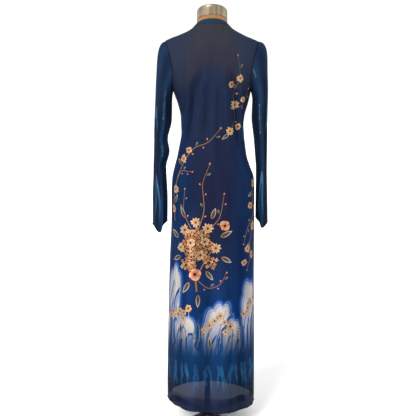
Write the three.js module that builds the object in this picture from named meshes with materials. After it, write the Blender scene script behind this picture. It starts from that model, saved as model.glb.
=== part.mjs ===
// A full-length wrap dress with long narrow sleeves, cut from fine stretch mesh and worn by a limbless
// dress form on a four-legged stand. Millimetres, +Z up, the front faces -Y and the wearer's left is +X.
// The origin is on the floor under the neck. Angles round the body are in degrees: 0 is the left side
// seam, 90 the centre back, 180 the right side seam and 270 the centre front.
import * as THREE from 'three';

// Cloth
const CLOTH = 1.5; // thickness of every cloth wall
const SEAM = 0.42; // gap between two pieces that are sewn together
const LAYERS = { over: 2.2, under: -1.8 }; // how far each front leaves the body's surface where they lap
const LAYERS_END = { from: 1350, to: 1410 }; // and the heights between which that fades out
const LAYERS_START = { degrees: 1.5, over: 10 }; // degrees from its own side seam where it begins
const LAYERS_DRAWN = { from: 1195, to: 1285, degrees: 34 }; // and how far that has drawn in at the bust
const BAND = 19; // width of the band round the neck and down both front edges

const FOLD_FADE = 60; // height over which a fold dies away at either end

// Heights of the dress at its sides
const HEM_Z = 88;
const UNDERARM_Z = 1306;
const SHOULDER_Z = 1487;
const NECK_SEAM_Z = 1534;
const NECK_TOP_Z = 1549;
const HEM_DROP = 14; // the hem hangs this much lower at the right side
const HEM_DROP_Z = 420; // and the drop has faded out at this height

// Form and stand
const TORSO_BOTTOM_Z = 842;
const NECK_END_Z = 1565;
const CAP_RADIUS = 57;
const CAP_HEIGHT = 41;
const CAP_SLOPE = 0.29; // how much the neck's end climbs for each millimetre backwards
const STAND_X = 18; // the pole and its base stand this far left of the neck's middle
const POLE_RADIUS = 12;
const FLANGE = { radius: 42, height: 7 };
const HUB = { radius: 17.5, bottom: 18.3, top: 46 };
const LEG = { length: 222, width: 24, thickness: 10, bottom: 8 };
const FOOT_RADIUS = 15;
const TOUCH = 0.3; // gap between hard pieces that bear on each other

// Level sections of the dress body: height at the sides, half width, reach behind and in front of the
// side line, sideways shift, squareness of the outline, and how far it climbs towards the centre back.
const BODY = [
  { z: 88, half: 174, back: 152, front: 160, shift: 4, square: 2.0, rise: 0 },
  { z: 165, half: 175, back: 150, front: 157, shift: 4, square: 2.0, rise: 0 },
  { z: 337, half: 172.8, back: 145, front: 150, shift: 2.8, square: 2.05, rise: 0 },
  { z: 507, half: 169, back: 140, front: 143, shift: 2, square: 2.1, rise: 0 },
  { z: 673, half: 165.5, back: 135, front: 136, shift: -0.5, square: 2.15, rise: 0 },
  { z: 839, half: 161.2, back: 130, front: 129, shift: -4, square: 2.2, rise: 0 },
  { z: 930, half: 160.5, back: 128, front: 122, shift: -4, square: 2.2, rise: 0 },
  { z: 980, half: 157.5, back: 126, front: 119, shift: -4, square: 2.2, rise: 0 },
  { z: 1019, half: 146.5, back: 120, front: 115, shift: -1.5, square: 2.2, rise: 0 },
  { z: 1058, half: 134.7, back: 109, front: 109, shift: 0, square: 2.2, rise: 0 },
  { z: 1100, half: 127, back: 97, front: 103, shift: -1, square: 2.2, rise: 0 },
  { z: 1150, half: 120, back: 87, front: 98, shift: -2.5, square: 2.2, rise: 0 },
  { z: 1180, half: 119.5, back: 85, front: 98, shift: -1, square: 2.2, rise: 0 },
  { z: 1210, half: 121, back: 87, front: 103, shift: -2, square: 2.25, rise: 0 },
  { z: 1260, half: 133, back: 94, front: 119, shift: -3, square: 2.35, rise: 0 },
  { z: 1290, half: 142, back: 98, front: 124, shift: -1.2, square: 2.4, rise: 0 },
  { z: 1306, half: 146.6, back: 100, front: 122, shift: 0, square: 2.45, rise: 0 },
  { z: 1320, half: 150, back: 101, front: 119, shift: 0, square: 2.5, rise: 0 },
  { z: 1360, half: 160, back: 103, front: 104, shift: 0, square: 2.6, rise: 0 },
  { z: 1400, half: 168, back: 101, front: 86, shift: 0, square: 2.6, rise: 0 },
  { z: 1440, half: 174, back: 96, front: 70, shift: 0, square: 2.4, rise: 0 },
  { z: 1470, half: 177, back: 88, front: 57, shift: 0, square: 2.2, rise: 2 },
  { z: 1487, half: 176, back: 81, front: 49, shift: 0, square: 2.1, rise: 5 },
  { z: 1497, half: 157, back: 77, front: 45, shift: 0, square: 2.1, rise: 7 },
  { z: 1505, half: 134, back: 73, front: 42, shift: 0, square: 2.1, rise: 9.5 },
  { z: 1514, half: 114, back: 70, front: 40, shift: 0, square: 2.05, rise: 12.5 },
  { z: 1524, half: 93, back: 66.5, front: 41, shift: 0, square: 2.0, rise: 15.5 },
  { z: 1534, half: 76, back: 63, front: 43, shift: 0, square: 2.0, rise: 17.5 },
  { z: 1541, half: 67.5, back: 61, front: 45, shift: 0, square: 2.0, rise: 19 },
  { z: 1549, half: 60, back: 59.5, front: 48, shift: 0, square: 2.0, rise: 19.5 },
];

// Sideways distance of the armhole seam from the centre line, behind and in front.
const ARMHOLE = [
  { z: 1306, back: 146.4, front: 146.4 },
  { z: 1309, back: 147.1, front: 146.8 },
  { z: 1316, back: 147.5, front: 145 },
  { z: 1330, back: 146.5, front: 140 },
  { z: 1357, back: 146, front: 137 },
  { z: 1400, back: 150, front: 139 },
  { z: 1440, back: 158, front: 150 },
  { z: 1470, back: 169, front: 165 },
  { z: 1487, back: 176, front: 176 },
];

// Outer edge of each front: how far it stops short of the centre line on its own side, and minus how
// far it laps past it. Both run into the opposite side at the waist, where the wrap is held shut.
const WRAP_EDGE = [
  { z: 88, over: -108, under: -76 },
  { z: 507, over: -116, under: -84 },
  { z: 930, over: -122, under: -96 },
  { z: 1058, over: -113, under: -104 },
  { z: 1130, over: -110, under: -106 },
  { z: 1172, over: -112, under: -108 },
  { z: 1195, over: -99, under: -97 },
  { z: 1220, over: -73, under: -72 },
  { z: 1245, over: -49, under: -49 },
  { z: 1275, over: -28, under: -28 },
  { z: 1305, over: -12, under: -12 },
  { z: 1335, over: 0, under: 0 },
  { z: 1370, over: 12, under: 12 },
  { z: 1410, over: 25, under: 25 },
  { z: 1450, over: 37, under: 37 },
  { z: 1487, over: 48, under: 48 },
  { z: 1514, over: 56, under: 56 },
  { z: 1534, over: 60, under: 60 },
  { z: 1549, over: 57.5, under: 57.5 },
];

// The largest folds of the body: angle at the fold's top and foot, heights of both, half width of the
// fold across the cloth, and how far its middle stands out (plus) or sinks in (minus).
const BODY_FOLDS = [
  { top: 78, foot: 38, from: 1390, to: 1150, width: 10, depth: -3.6 },
  { top: 84, foot: 60, from: 1400, to: 1160, width: 10, depth: 2.6 },
  { top: 92, foot: 92, from: 1425, to: 1180, width: 9, depth: 2.4 },
  { top: 101, foot: 105, from: 1425, to: 1175, width: 9, depth: 2.6 },
  { top: 111, foot: 141, from: 1405, to: 1140, width: 10, depth: -4 },
  { top: 120, foot: 152, from: 1390, to: 1170, width: 10, depth: 2.4 },
  { top: 62, foot: 58, from: 900, to: 80, width: 17, depth: 3.2 },
  { top: 76, foot: 74, from: 820, to: 80, width: 14, depth: -2.6 },
  { top: 104, foot: 106, from: 760, to: 80, width: 20, depth: 3.0 },
  { top: 128, foot: 131, from: 860, to: 80, width: 18, depth: -3.0 },
  { top: 26, foot: 24, from: 760, to: 80, width: 18, depth: -2.4 },
  { top: 156, foot: 158, from: 700, to: 80, width: 18, depth: 2.4 },
  { top: 212, foot: 208, from: 930, to: 80, width: 18, depth: 2.8 },
  { top: 238, foot: 240, from: 880, to: 80, width: 20, depth: -3.0 },
  { top: 262, foot: 258, from: 1000, to: 80, width: 18, depth: 3.2 },
  { top: 286, foot: 290, from: 960, to: 80, width: 20, depth: -3.0 },
  { top: 334, foot: 336, from: 900, to: 80, width: 18, depth: 3.0 },
  { top: 300, foot: 332, from: 1290, to: 1190, width: 16, depth: 2.4 },
  { top: 250, foot: 212, from: 1290, to: 1180, width: 16, depth: 2.2 },
];

// Sleeve sections below the shoulder: middle and half width across the body, half depth, middle in y.
const SLEEVES = {
  left: [
    { z: 1270, middle: 183.5, half: 33, deep: 47, y: 2 },
    { z: 1195, middle: 186.8, half: 34, deep: 45, y: 0 },
    { z: 1125, middle: 195.6, half: 27.5, deep: 46, y: -2 },
    { z: 1082, middle: 193.2, half: 31.2, deep: 42, y: -3 },
    { z: 1019, middle: 201.2, half: 25.8, deep: 42, y: -5 },
    { z: 898, middle: 201, half: 30, deep: 38, y: -6 },
    { z: 768, middle: 203, half: 29.5, deep: 40, y: -6 },
  ],
  right: [
    { z: 1270, middle: 182, half: 30.5, deep: 47, y: 2 },
    { z: 1212, middle: 180.8, half: 31, deep: 46, y: 1 },
    { z: 1125, middle: 185.8, half: 26.8, deep: 45, y: -2 },
    { z: 1052, middle: 189.2, half: 23.6, deep: 43, y: -4 },
    { z: 1017, middle: 190.6, half: 22.4, deep: 42, y: -5 },
    { z: 898, middle: 192.6, half: 24, deep: 39, y: -6 },
    { z: 768, middle: 194.5, half: 25.5, deep: 41, y: -6 },
  ],
};

// Lengthwise folds of a sleeve. Angle 0 is the outer side, 90 behind and 180 beside the body.
const SLEEVE_FOLDS = {
  left: [
    { top: 52, foot: 48, from: 1400, to: 770, width: 17, depth: -3.4 },
    { top: 86, foot: 96, from: 1380, to: 770, width: 15, depth: 3.0 },
    { top: 122, foot: 138, from: 1330, to: 770, width: 17, depth: -4.2 },
    { top: 236, foot: 228, from: 1340, to: 770, width: 17, depth: -3.6 },
    { top: 300, foot: 306, from: 1380, to: 770, width: 17, depth: -3.2 },
  ],
  right: [
    { top: 58, foot: 60, from: 1400, to: 770, width: 16, depth: -3.6 },
    { top: 104, foot: 92, from: 1370, to: 770, width: 16, depth: 2.8 },
    { top: 138, foot: 126, from: 1330, to: 770, width: 17, depth: -3.8 },
    { top: 228, foot: 236, from: 1340, to: 770, width: 17, depth: -3.6 },
    { top: 296, foot: 302, from: 1380, to: 770, width: 17, depth: -3.0 },
  ],
};

// Cuff height at the outer side, how far the corner behind hangs below it, and how far the side beside
// the body is drawn up.
const CUFFS = {
  left: { z: 797, corner: -28, inner: 13 },
  right: { z: 805, corner: -19, inner: 21 },
};
const CUFF_CORNER = { angle: 78, spread: 34 };
const CUFF_INNER = { angle: 180, spread: 48 };
const SLEEVE_TOP_Z = 1270; // where the shaped sleeve head has become a plain tube

// The rounded corner at the top of a sleeve: how far it stands out, the share of the head's length in
// which it does, and the shares between which it fades.
const SHOULDER_CORNER = { left: 5, right: 9 };
const CORNER_TURN = 0.045;
const CORNER_FADE = { from: 0.18, to: 0.65 };

// How far the form's cover lies inside the cloth's inner face.
const FORM_CLEARANCE = [
  { z: 842, gap: 9 },
  { z: 930, gap: 6 },
  { z: 1019, gap: 6 },
  { z: 1180, gap: 7 },
  { z: 1290, gap: 6 },
  { z: 1360, gap: 5 },
  { z: 1430, gap: 3.2 },
  { z: 1470, gap: 3.2 },
  { z: 1500, gap: 2.6 },
  { z: 1549, gap: 1.4 },
];

// The bare neck of the form above the band: half width, reach behind and in front.
const FORM_NECK = [
  { z: 1557, half: 57, back: 57, front: 48 },
  { z: NECK_END_Z, half: 56.4, back: 56.4, front: 52.4 },
];

// Rows and columns of the walls
const SKIRT_ROWS = [HEM_Z, 230, 420, 620, 800, 900, 970, 1015, 1058, 1095, 1130];
const BODICE_ROWS = [1155, 1174, 1188, 1202, 1218, 1236, 1256, 1275, 1292, UNDERARM_Z];
const ARMHOLE_ROWS = [1309, 1316, 1330, 1354, 1388, 1424, 1455, 1474, SHOULDER_Z];
const SHOULDER_ROWS = [1497, 1505, 1514, 1524];
const PANEL_COLUMNS = { back: 24, over: 19, under: 17 };
const BAND_END_ROWS = [1530, 1536, 1541, 1545];
const BAND_COLUMNS = 3;
const SLEEVE_HEAD_ROWS = 9;
const HEAD_CROWDING = 1.6; // how much closer the head's rows lie near the armhole
const SLEEVE_ROWS = 9;
const FORM_COLUMNS = 30;
const ROUND_SIDES = 20;

const LINEN = { color: 0xb98f5a, roughness: 0.9 };
const PEWTER = { color: 0xb5ab98, roughness: 0.35, metalness: 0.9 };
const IRON = { color: 0x25272b, roughness: 0.5, metalness: 0.6 };
const NAVY = { color: 0x1b2f52, roughness: 0.7 };
const BAND_BLUE = { color: 0x1d4461, roughness: 0.6 };

const radians = THREE.MathUtils.degToRad;
const degrees = THREE.MathUtils.radToDeg;
const mix = THREE.MathUtils.lerp;

function smooth(from, to, value) {
  return THREE.MathUtils.smoothstep(value, from, to);
}

// A smooth curve through one column of a table, which never overshoots between two rows.
function curveOf(rows, key) {
  const at = rows.map((row) => row.z);
  const value = rows.map((row) => row[key]);
  const slope = at.slice(1).map((z, i) => (value[i + 1] - value[i]) / (z - at[i]));
  const tangent = value.map((_, i) => {
    if (i === 0) return slope[0];
    if (i === slope.length) return slope[i - 1];
    const before = slope[i - 1];
    const after = slope[i];
    return before * after <= 0 ? 0 : (2 * before * after) / (before + after);
  });
  return (z) => {
    if (z <= at[0]) return value[0];
    if (z >= at[at.length - 1]) return value[value.length - 1];
    const i = at.findIndex((next, k) => k > 0 && z <= next) - 1;
    const span = at[i + 1] - at[i];
    const t = (z - at[i]) / span;
    const t2 = t * t;
    const t3 = t2 * t;
    return (
      value[i] * (2 * t3 - 3 * t2 + 1) +
      tangent[i] * span * (t3 - 2 * t2 + t) +
      value[i + 1] * (3 * t2 - 2 * t3) +
      tangent[i + 1] * span * (t3 - t2)
    );
  };
}

// Every column of a table as a curve.
function curvesOf(rows) {
  const keys = Object.keys(rows[0]).filter((key) => key !== 'z');
  return Object.fromEntries(keys.map((key) => [key, curveOf(rows, key)]));
}

// A point on a level outline that is an ellipse where its squareness is 2, and fuller above that.
function outlinePoint(angle, section) {
  const c = Math.cos(radians(angle));
  const s = Math.sin(radians(angle));
  const size = (Math.abs(c) ** section.square + Math.abs(s) ** section.square) ** (1 / section.square);
  const across = c / size;
  const deep = s / size;
  return new THREE.Vector3(
    section.shift + section.half * across,
    (s >= 0 ? section.back : section.front) * deep,
    section.z + section.rise * deep,
  );
}

const body = curvesOf(BODY);
const armhole = curvesOf(ARMHOLE);
const wrapEdge = curvesOf(WRAP_EDGE);
const formClearance = curveOf(FORM_CLEARANCE, 'gap');

function bodySection(z) {
  const section = { z };
  for (const key of Object.keys(body)) section[key] = body[key](z);
  return section;
}

function hemDrop(angle, z) {
  return (HEM_DROP * (1 - Math.cos(radians(angle))) * (1 - smooth(HEM_Z, HEM_DROP_Z, z))) / 2;
}

function plainBodyPoint(angle, z) {
  const point = outlinePoint(angle, bodySection(z));
  point.z -= hemDrop(angle, z);
  return point;
}

// The way out of the unfolded body surface.
function bodyNormal(angle, z) {
  const turn = 0.5;
  const climb = 1;
  const low = Math.max(z - climb, HEM_Z);
  const high = Math.min(z + climb, NECK_TOP_Z);
  const around = plainBodyPoint(angle + turn, z).sub(plainBodyPoint(angle - turn, z));
  const up = plainBodyPoint(angle, high).sub(plainBodyPoint(angle, low));
  return around.cross(up).normalize();
}

// How far folds move the cloth outwards. A fold runs from its top to its foot and fades at both ends.
function foldHeight(folds, angle, z, radius) {
  return folds.reduce((sum, fold) => {
    const along = (fold.from - z) / (fold.from - fold.to);
    const middle = mix(fold.top, fold.foot, THREE.MathUtils.clamp(along, 0, 1));
    const off = ((angle - middle + 540) % 360) - 180;
    const apart = radians(off) * radius;
    const ends = smooth(fold.to - FOLD_FADE, fold.to, z) - smooth(fold.from - FOLD_FADE, fold.from, z);
    return sum + fold.depth * ends * Math.exp(-((apart / fold.width) ** 2));
  }, 0);
}

// The outer and inner face of the body's cloth at one place, lifted off the body by a layer's height.
function bodyCloth(angle, z, lift = 0) {
  const base = plainBodyPoint(angle, z);
  const normal = bodyNormal(angle, z);
  const radius = Math.hypot(base.x, base.y);
  const out = lift + foldHeight(BODY_FOLDS, angle, z, radius);
  return {
    outer: base.clone().addScaledVector(normal, out),
    inner: base.clone().addScaledVector(normal, out - CLOTH),
  };
}

// The angle, from the nearer side seam, of a place this far from the centre line.
function angleFromSide(distance, z) {
  const section = bodySection(z);
  const share = THREE.MathUtils.clamp(Math.abs(distance) / section.half, 0, 1);
  const angle = degrees(Math.atan2((1 - share ** section.square) ** (1 / section.square), share));
  return distance >= 0 ? angle : 180 - angle;
}

// Half a seam's gap as an angle.
function seamAngle(angle, z) {
  const step = plainBodyPoint(angle + 0.5, z).distanceTo(plainBodyPoint(angle - 0.5, z));
  return SEAM / 2 / step;
}

// Angle of a panel's outer edge from the side seam line: half the seam's gap below the underarm and
// along the shoulder, and the armhole between them.
function sideEdge(z, face) {
  const inArmhole = z > UNDERARM_Z && z < SHOULDER_Z;
  return inArmhole ? angleFromSide(armhole[face](z), z) : seamAngle(0, z);
}

// Angle, from its own side seam, of a front's free edge, drawn back by part of the band's width.
function frontEdge(z, front, drawnBack) {
  const reach = 4;
  const tilt = (wrapEdge[front](z + reach) - wrapEdge[front](z - reach)) / (2 * reach);
  const slanted = drawnBack * Math.sqrt(1 + tilt * tilt);
  return angleFromSide(wrapEdge[front](z) + slanted, z);
}

// Where the fronts lap, one is lifted and the other sunk, and both come back to the side seams.
function frontLift(alpha, z, front) {
  const start = LAYERS_START.degrees + LAYERS_DRAWN.degrees * smooth(LAYERS_DRAWN.from, LAYERS_DRAWN.to, z);
  const lapped = smooth(start, start + LAYERS_START.over, alpha);
  return LAYERS[front] * lapped * (1 - smooth(LAYERS_END.from, LAYERS_END.to, z));
}

function frontCloth(alpha, z, front) {
  const angle = front === 'over' ? 180 + alpha : 360 - alpha;
  return bodyCloth(angle, z, frontLift(alpha, z, front));
}

function geometryFrom(points, faces) {
  const volume = faces.reduce((sum, [a, b, c]) => {
    const cross = new THREE.Vector3().crossVectors(points[b], points[c]);
    return sum + points[a].dot(cross);
  }, 0);
  const index = faces.flatMap(([a, b, c]) => (volume < 0 ? [a, c, b] : [a, b, c]));
  const geometry = new THREE.BufferGeometry().setFromPoints(points);
  geometry.setIndex(index);
  geometry.computeVertexNormals();
  return geometry;
}

// A closed wall between the outer and inner points of a grid. A tube's last column joins its first.
function wallGeometry(grid, tube = false) {
  const rows = grid.length;
  const columns = grid[0].length;
  const points = [...grid.flat().map((p) => p.outer), ...grid.flat().map((p) => p.inner)];
  const outer = (r, c) => r * columns + (c % columns);
  const inner = (r, c) => outer(r, c) + rows * columns;
  const faces = [];
  const quad = (a, b, c, d) => faces.push([a, b, c], [a, c, d]);
  const last = tube ? columns : columns - 1;
  for (let r = 0; r < rows - 1; r += 1) {
    for (let c = 0; c < last; c += 1) {
      quad(outer(r, c), outer(r, c + 1), outer(r + 1, c + 1), outer(r + 1, c));
      quad(inner(r + 1, c), inner(r + 1, c + 1), inner(r, c + 1), inner(r, c));
    }
  }
  for (let c = 0; c < last; c += 1) {
    quad(inner(0, c), inner(0, c + 1), outer(0, c + 1), outer(0, c));
    quad(outer(rows - 1, c), outer(rows - 1, c + 1), inner(rows - 1, c + 1), inner(rows - 1, c));
  }
  for (let r = 0; !tube && r < rows - 1; r += 1) {
    quad(outer(r, 0), outer(r + 1, 0), inner(r + 1, 0), inner(r, 0));
    quad(inner(r, last), inner(r + 1, last), outer(r + 1, last), outer(r, last));
  }
  return geometryFrom(points, faces);
}

// A closed solid through level rings, each with the same number of points, capped at both ends.
function stackGeometry(rings) {
  const sides = rings[0].length;
  const points = rings.flat();
  const middle = (ring) => ring.reduce((sum, p) => sum.add(p), new THREE.Vector3()).divideScalar(sides);
  const foot = points.push(middle(rings[0])) - 1;
  const head = points.push(middle(rings[rings.length - 1])) - 1;
  const at = (r, c) => r * sides + (c % sides);
  const faces = [];
  for (let c = 0; c < sides; c += 1) {
    for (let r = 0; r < rings.length - 1; r += 1) {
      faces.push([at(r, c), at(r, c + 1), at(r + 1, c + 1)], [at(r, c), at(r + 1, c + 1), at(r + 1, c)]);
    }
    faces.push([foot, at(0, c + 1), at(0, c)]);
    faces.push([head, at(rings.length - 1, c), at(rings.length - 1, c + 1)]);
  }
  return geometryFrom(points, faces);
}

function meshOf(name, geometry, finish) {
  const mesh = new THREE.Mesh(geometry, new THREE.MeshStandardMaterial(finish));
  mesh.name = name;
  return mesh;
}

function clothGrid(heights, columns, edges, cloth) {
  return heights.map((z) => {
    const [first, last] = edges(z);
    return Array.from({ length: columns + 1 }, (_, c) => cloth(mix(first, last, c / columns), z));
  });
}

const ARM_ROWS = [...SKIRT_ROWS, ...BODICE_ROWS, ...ARMHOLE_ROWS];
const neckSeamBelow = NECK_SEAM_Z - SEAM / 3;
const neckSeamAbove = NECK_SEAM_Z + SEAM / 3;

function backPanel() {
  const heights = [...ARM_ROWS, ...SHOULDER_ROWS, neckSeamBelow];
  const edges = (z) => [sideEdge(z, 'back'), 180 - sideEdge(z, 'back')];
  const grid = clothGrid(heights, PANEL_COLUMNS.back, edges, (angle, z) => bodyCloth(angle, z));
  return meshOf('back_panel', wallGeometry(grid), NAVY);
}

function frontPanel(name, front) {
  const heights = [...ARM_ROWS, ...SHOULDER_ROWS];
  const edges = (z) => [sideEdge(z, 'front'), frontEdge(z, front, BAND + SEAM / 2)];
  const cloth = (alpha, z) => frontCloth(alpha, z, front);
  return meshOf(name, wallGeometry(clothGrid(heights, PANEL_COLUMNS[front], edges, cloth)), NAVY);
}

function backBand() {
  const heights = [neckSeamAbove, mix(neckSeamAbove, NECK_TOP_Z, 0.5), NECK_TOP_Z];
  const edges = (z) => [seamAngle(0, z), 180 - seamAngle(180, z)];
  const grid = clothGrid(heights, PANEL_COLUMNS.back, edges, (angle, z) => bodyCloth(angle, z));
  return meshOf('neckband_back', wallGeometry(grid), BAND_BLUE);
}

// A front band follows its panel's free edge from the hem to the shoulder, where it meets the back band.
function frontBand(name, front) {
  const heights = [...ARM_ROWS, ...SHOULDER_ROWS, ...BAND_END_ROWS];
  const edges = (z) => {
    const first = Math.max(frontEdge(z, front, BAND - SEAM / 2), seamAngle(0, z));
    return [first, frontEdge(z, front, 0)];
  };
  const cloth = (alpha, z) => frontCloth(alpha, z, front);
  return meshOf(name, wallGeometry(clothGrid(heights, BAND_COLUMNS, edges, cloth)), BAND_BLUE);
}

// The armhole as a loop from the underarm up behind to the shoulder and down in front, on the left
// side, drawn in from the panels' edges by the seam's gap.
function armholeLoop() {
  const heights = ARMHOLE_ROWS.slice(0, -1);
  const behind = heights.map((z) => bodyCloth(angleFromSide(armhole.back(z), z), z));
  const before = heights.map((z) => bodyCloth(360 - angleFromSide(armhole.front(z), z), z));
  const loop = [bodyCloth(0, UNDERARM_Z), ...behind, bodyCloth(0, SHOULDER_Z), ...before.reverse()];
  return loop.map(({ outer, inner }, i) => {
    const along = loop[(i + 1) % loop.length].outer.clone().sub(loop.at(i - 1).outer);
    const out = outer.clone().sub(inner);
    const into = out.clone().cross(along).normalize();
    return { place: outer.clone().addScaledVector(into, SEAM), into, out: out.normalize() };
  });
}

// Share of the way up each half of the armhole, turned into an angle round the sleeve.
function armholeAngles(loop) {
  const top = ARMHOLE_ROWS.length;
  const lengths = (points) => {
    const sums = [0];
    for (let i = 1; i < points.length; i += 1) sums.push(sums[i - 1] + points[i].distanceTo(points[i - 1]));
    return sums.map((sum) => sum / sums[sums.length - 1]);
  };
  const behind = lengths(loop.slice(0, top + 1)).map((share) => 180 - 180 * share);
  const before = lengths([...loop.slice(top), loop[0]]).map((share) => 360 - 180 * share);
  return [...behind, ...before.slice(1, -1)];
}

function nearAngle(angle, place) {
  const off = ((angle - place.angle + 540) % 360) - 180;
  return Math.exp(-((off / place.spread) ** 2));
}

function cuffHeight(angle, side) {
  const cuff = CUFFS[side];
  return cuff.z + cuff.corner * nearAngle(angle, CUFF_CORNER) + cuff.inner * nearAngle(angle, CUFF_INNER);
}

// A point of the plain tube of a sleeve, measured outwards from the centre line of the body.
function sleevePoint(angle, z, side, sections) {
  const half = sections.half(z);
  const deep = sections.deep(z);
  const fold = foldHeight(SLEEVE_FOLDS[side], angle, z, (half + deep) / 2);
  const c = Math.cos(radians(angle));
  const s = Math.sin(radians(angle));
  return new THREE.Vector3(sections.middle(z) + (half + fold) * c, sections.y(z) + (deep + fold) * s, z);
}

// The sleeve's head leaves the armhole outwards and comes down into the tube. At the shoulder it runs
// out level and turns down in a rounded corner, and at the underarm it turns away from the panel.
function sleeveHeadPoint(seam, angle, share, side, sections) {
  const from = seam.place;
  const to = sleevePoint(angle, SLEEVE_TOP_Z, side, sections);
  const up = THREE.MathUtils.clamp((from.z - UNDERARM_Z) / (SHOULDER_Z - UNDERARM_Z), 0, 1);
  const leave = new THREE.Vector3(up, 0, -mix(0.6, 0.1, up))
    .addScaledVector(seam.out, 0.9 * (1 - up))
    .normalize();
  const turned = 1 - Math.exp(-share / CORNER_TURN);
  const corner = SHOULDER_CORNER[side] * up ** 3 * turned * (1 - smooth(CORNER_FADE.from, CORNER_FADE.to, share));
  const span = from.distanceTo(to);
  const below = sleevePoint(angle, SLEEVE_TOP_Z - 10, side, sections);
  const down = below.sub(to).normalize();
  const t2 = share * share;
  const t3 = t2 * share;
  return new THREE.Vector3()
    .addScaledVector(from, 2 * t3 - 3 * t2 + 1)
    .addScaledVector(leave, (t3 - 2 * t2 + share) * span * mix(0.35, 0.5, up))
    .addScaledVector(to, 3 * t2 - 2 * t3)
    .addScaledVector(down, (t3 - t2) * span)
    .add(new THREE.Vector3(corner, 0, 0));
}

// Gives each point of a tube's grid its inner partner, one thickness in along the surface's normal.
function thickenTube(points) {
  const rows = points.length;
  const columns = points[0].length;
  return points.map((row, r) =>
    row.map((point, c) => {
      const around = row[(c + 1) % columns].clone().sub(row[(c + columns - 1) % columns]);
      const lower = points[Math.min(r + 1, rows - 1)][c];
      const along = lower.clone().sub(points[Math.max(r - 1, 0)][c]);
      const normal = around.cross(along).normalize();
      return { outer: point, inner: point.clone().addScaledVector(normal, -CLOTH) };
    }),
  );
}

function sleeve(name, side) {
  const sections = curvesOf([...SLEEVES[side]].reverse());
  const loop = armholeLoop();
  const angles = armholeAngles(loop.map((seam) => seam.place));
  const head = Array.from({ length: SLEEVE_HEAD_ROWS }, (_, r) => {
    const share = (r / SLEEVE_HEAD_ROWS) ** HEAD_CROWDING;
    return loop.map((seam, c) => sleeveHeadPoint(seam, angles[c], share, side, sections));
  });
  const tube = Array.from({ length: SLEEVE_ROWS + 1 }, (_, r) =>
    angles.map((angle) =>
      sleevePoint(angle, mix(SLEEVE_TOP_Z, cuffHeight(angle, side), r / SLEEVE_ROWS), side, sections),
    ),
  );
  const towards = side === 'left' ? 1 : -1;
  const walls = thickenTube([...head, ...tube]);
  walls[0].forEach((wall, c) => {
    const { into } = loop[c];
    const back = Math.min(0, wall.inner.clone().sub(wall.outer).dot(into));
    wall.inner.addScaledVector(into, -back);
  });
  const grid = walls.map((row) =>
    row.map(({ outer, inner }) => ({
      outer: new THREE.Vector3(towards * outer.x, outer.y, outer.z),
      inner: new THREE.Vector3(towards * inner.x, inner.y, inner.z),
    })),
  );
  return meshOf(name, wallGeometry(grid, true), NAVY);
}

function ringAngles(count) {
  return Array.from({ length: count }, (_, i) => (360 * i) / count);
}

// The covered torso lies inside the unfolded cloth, and its bare neck carries on above the band.
function formTorso() {
  const below = [...SKIRT_ROWS, ...BODICE_ROWS].filter((z) => z > TORSO_BOTTOM_Z);
  const heights = [TORSO_BOTTOM_Z, ...below, ...ARMHOLE_ROWS.slice(2), ...SHOULDER_ROWS]
    .concat([NECK_SEAM_Z, (NECK_SEAM_Z + NECK_TOP_Z) / 2, NECK_TOP_Z]);
  const inside = heights.map((z) =>
    ringAngles(FORM_COLUMNS).map((angle) => {
      const inset = CLOTH + formClearance(z);
      return plainBodyPoint(angle, z).addScaledVector(bodyNormal(angle, z), -inset);
    }),
  );
  for (const point of inside[0]) point.z = TORSO_BOTTOM_Z;
  return meshOf('form_torso', stackGeometry([...inside, ...FORM_NECK.map(slantedRing)]), LINEN);
}

// A ring that climbs backwards with the slope of the neck's end.
function slantedRing(section) {
  return ringAngles(FORM_COLUMNS).map((angle) => {
    const point = outlinePoint(angle, { ...section, shift: 0, square: 2, rise: 0 });
    point.z += CAP_SLOPE * point.y;
    return point;
  });
}

// The neck cap is a slanting drum with a rounded upper rim and a slightly domed top.
function formCap() {
  const bottom = NECK_END_Z + TOUCH;
  const profile = [
    { inset: 0, up: 0 },
    { inset: 0, up: CAP_HEIGHT - 10 },
    { inset: 1.5, up: CAP_HEIGHT - 5 },
    { inset: 6, up: CAP_HEIGHT - 1 },
    { inset: 14, up: CAP_HEIGHT + 1 },
    { inset: 38, up: CAP_HEIGHT + 2 },
  ];
  const rings = profile.map(({ inset, up }) => {
    const radius = CAP_RADIUS - inset;
    return slantedRing({ z: bottom + up, half: radius, back: radius, front: radius - 4 });
  });
  return meshOf('form_neck_cap', stackGeometry(rings), PEWTER);
}

function uprightRound(name, radius, bottom, top, finish) {
  const geometry = new THREE.CylinderGeometry(radius, radius, top - bottom, ROUND_SIDES);
  geometry.rotateX(Math.PI / 2);
  geometry.translate(0, 0, (top + bottom) / 2);
  return meshOf(name, geometry, finish);
}

// A flat bar with a round end, lying outwards from the hub.
function standLeg(name, turn) {
  const half = LEG.width / 2;
  const outline = new THREE.Shape();
  outline.moveTo(half + TOUCH, -half);
  outline.lineTo(LEG.length - half, -half);
  outline.absarc(LEG.length - half, 0, half, -Math.PI / 2, Math.PI / 2, false);
  outline.lineTo(half + TOUCH, half);
  outline.closePath();
  const bar = { depth: LEG.thickness, bevelEnabled: false, curveSegments: ROUND_SIDES / 2 };
  const geometry = new THREE.ExtrudeGeometry(outline, bar);
  geometry.translate(0, 0, LEG.bottom);
  geometry.rotateZ(turn);
  return meshOf(name, geometry, IRON);
}

function standFoot(name, turn) {
  const foot = uprightRound(name, FOOT_RADIUS, 0, LEG.bottom - TOUCH, IRON);
  const away = LEG.length - LEG.width / 2;
  foot.position.set(away * Math.cos(turn), away * Math.sin(turn), 0);
  return foot;
}

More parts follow.
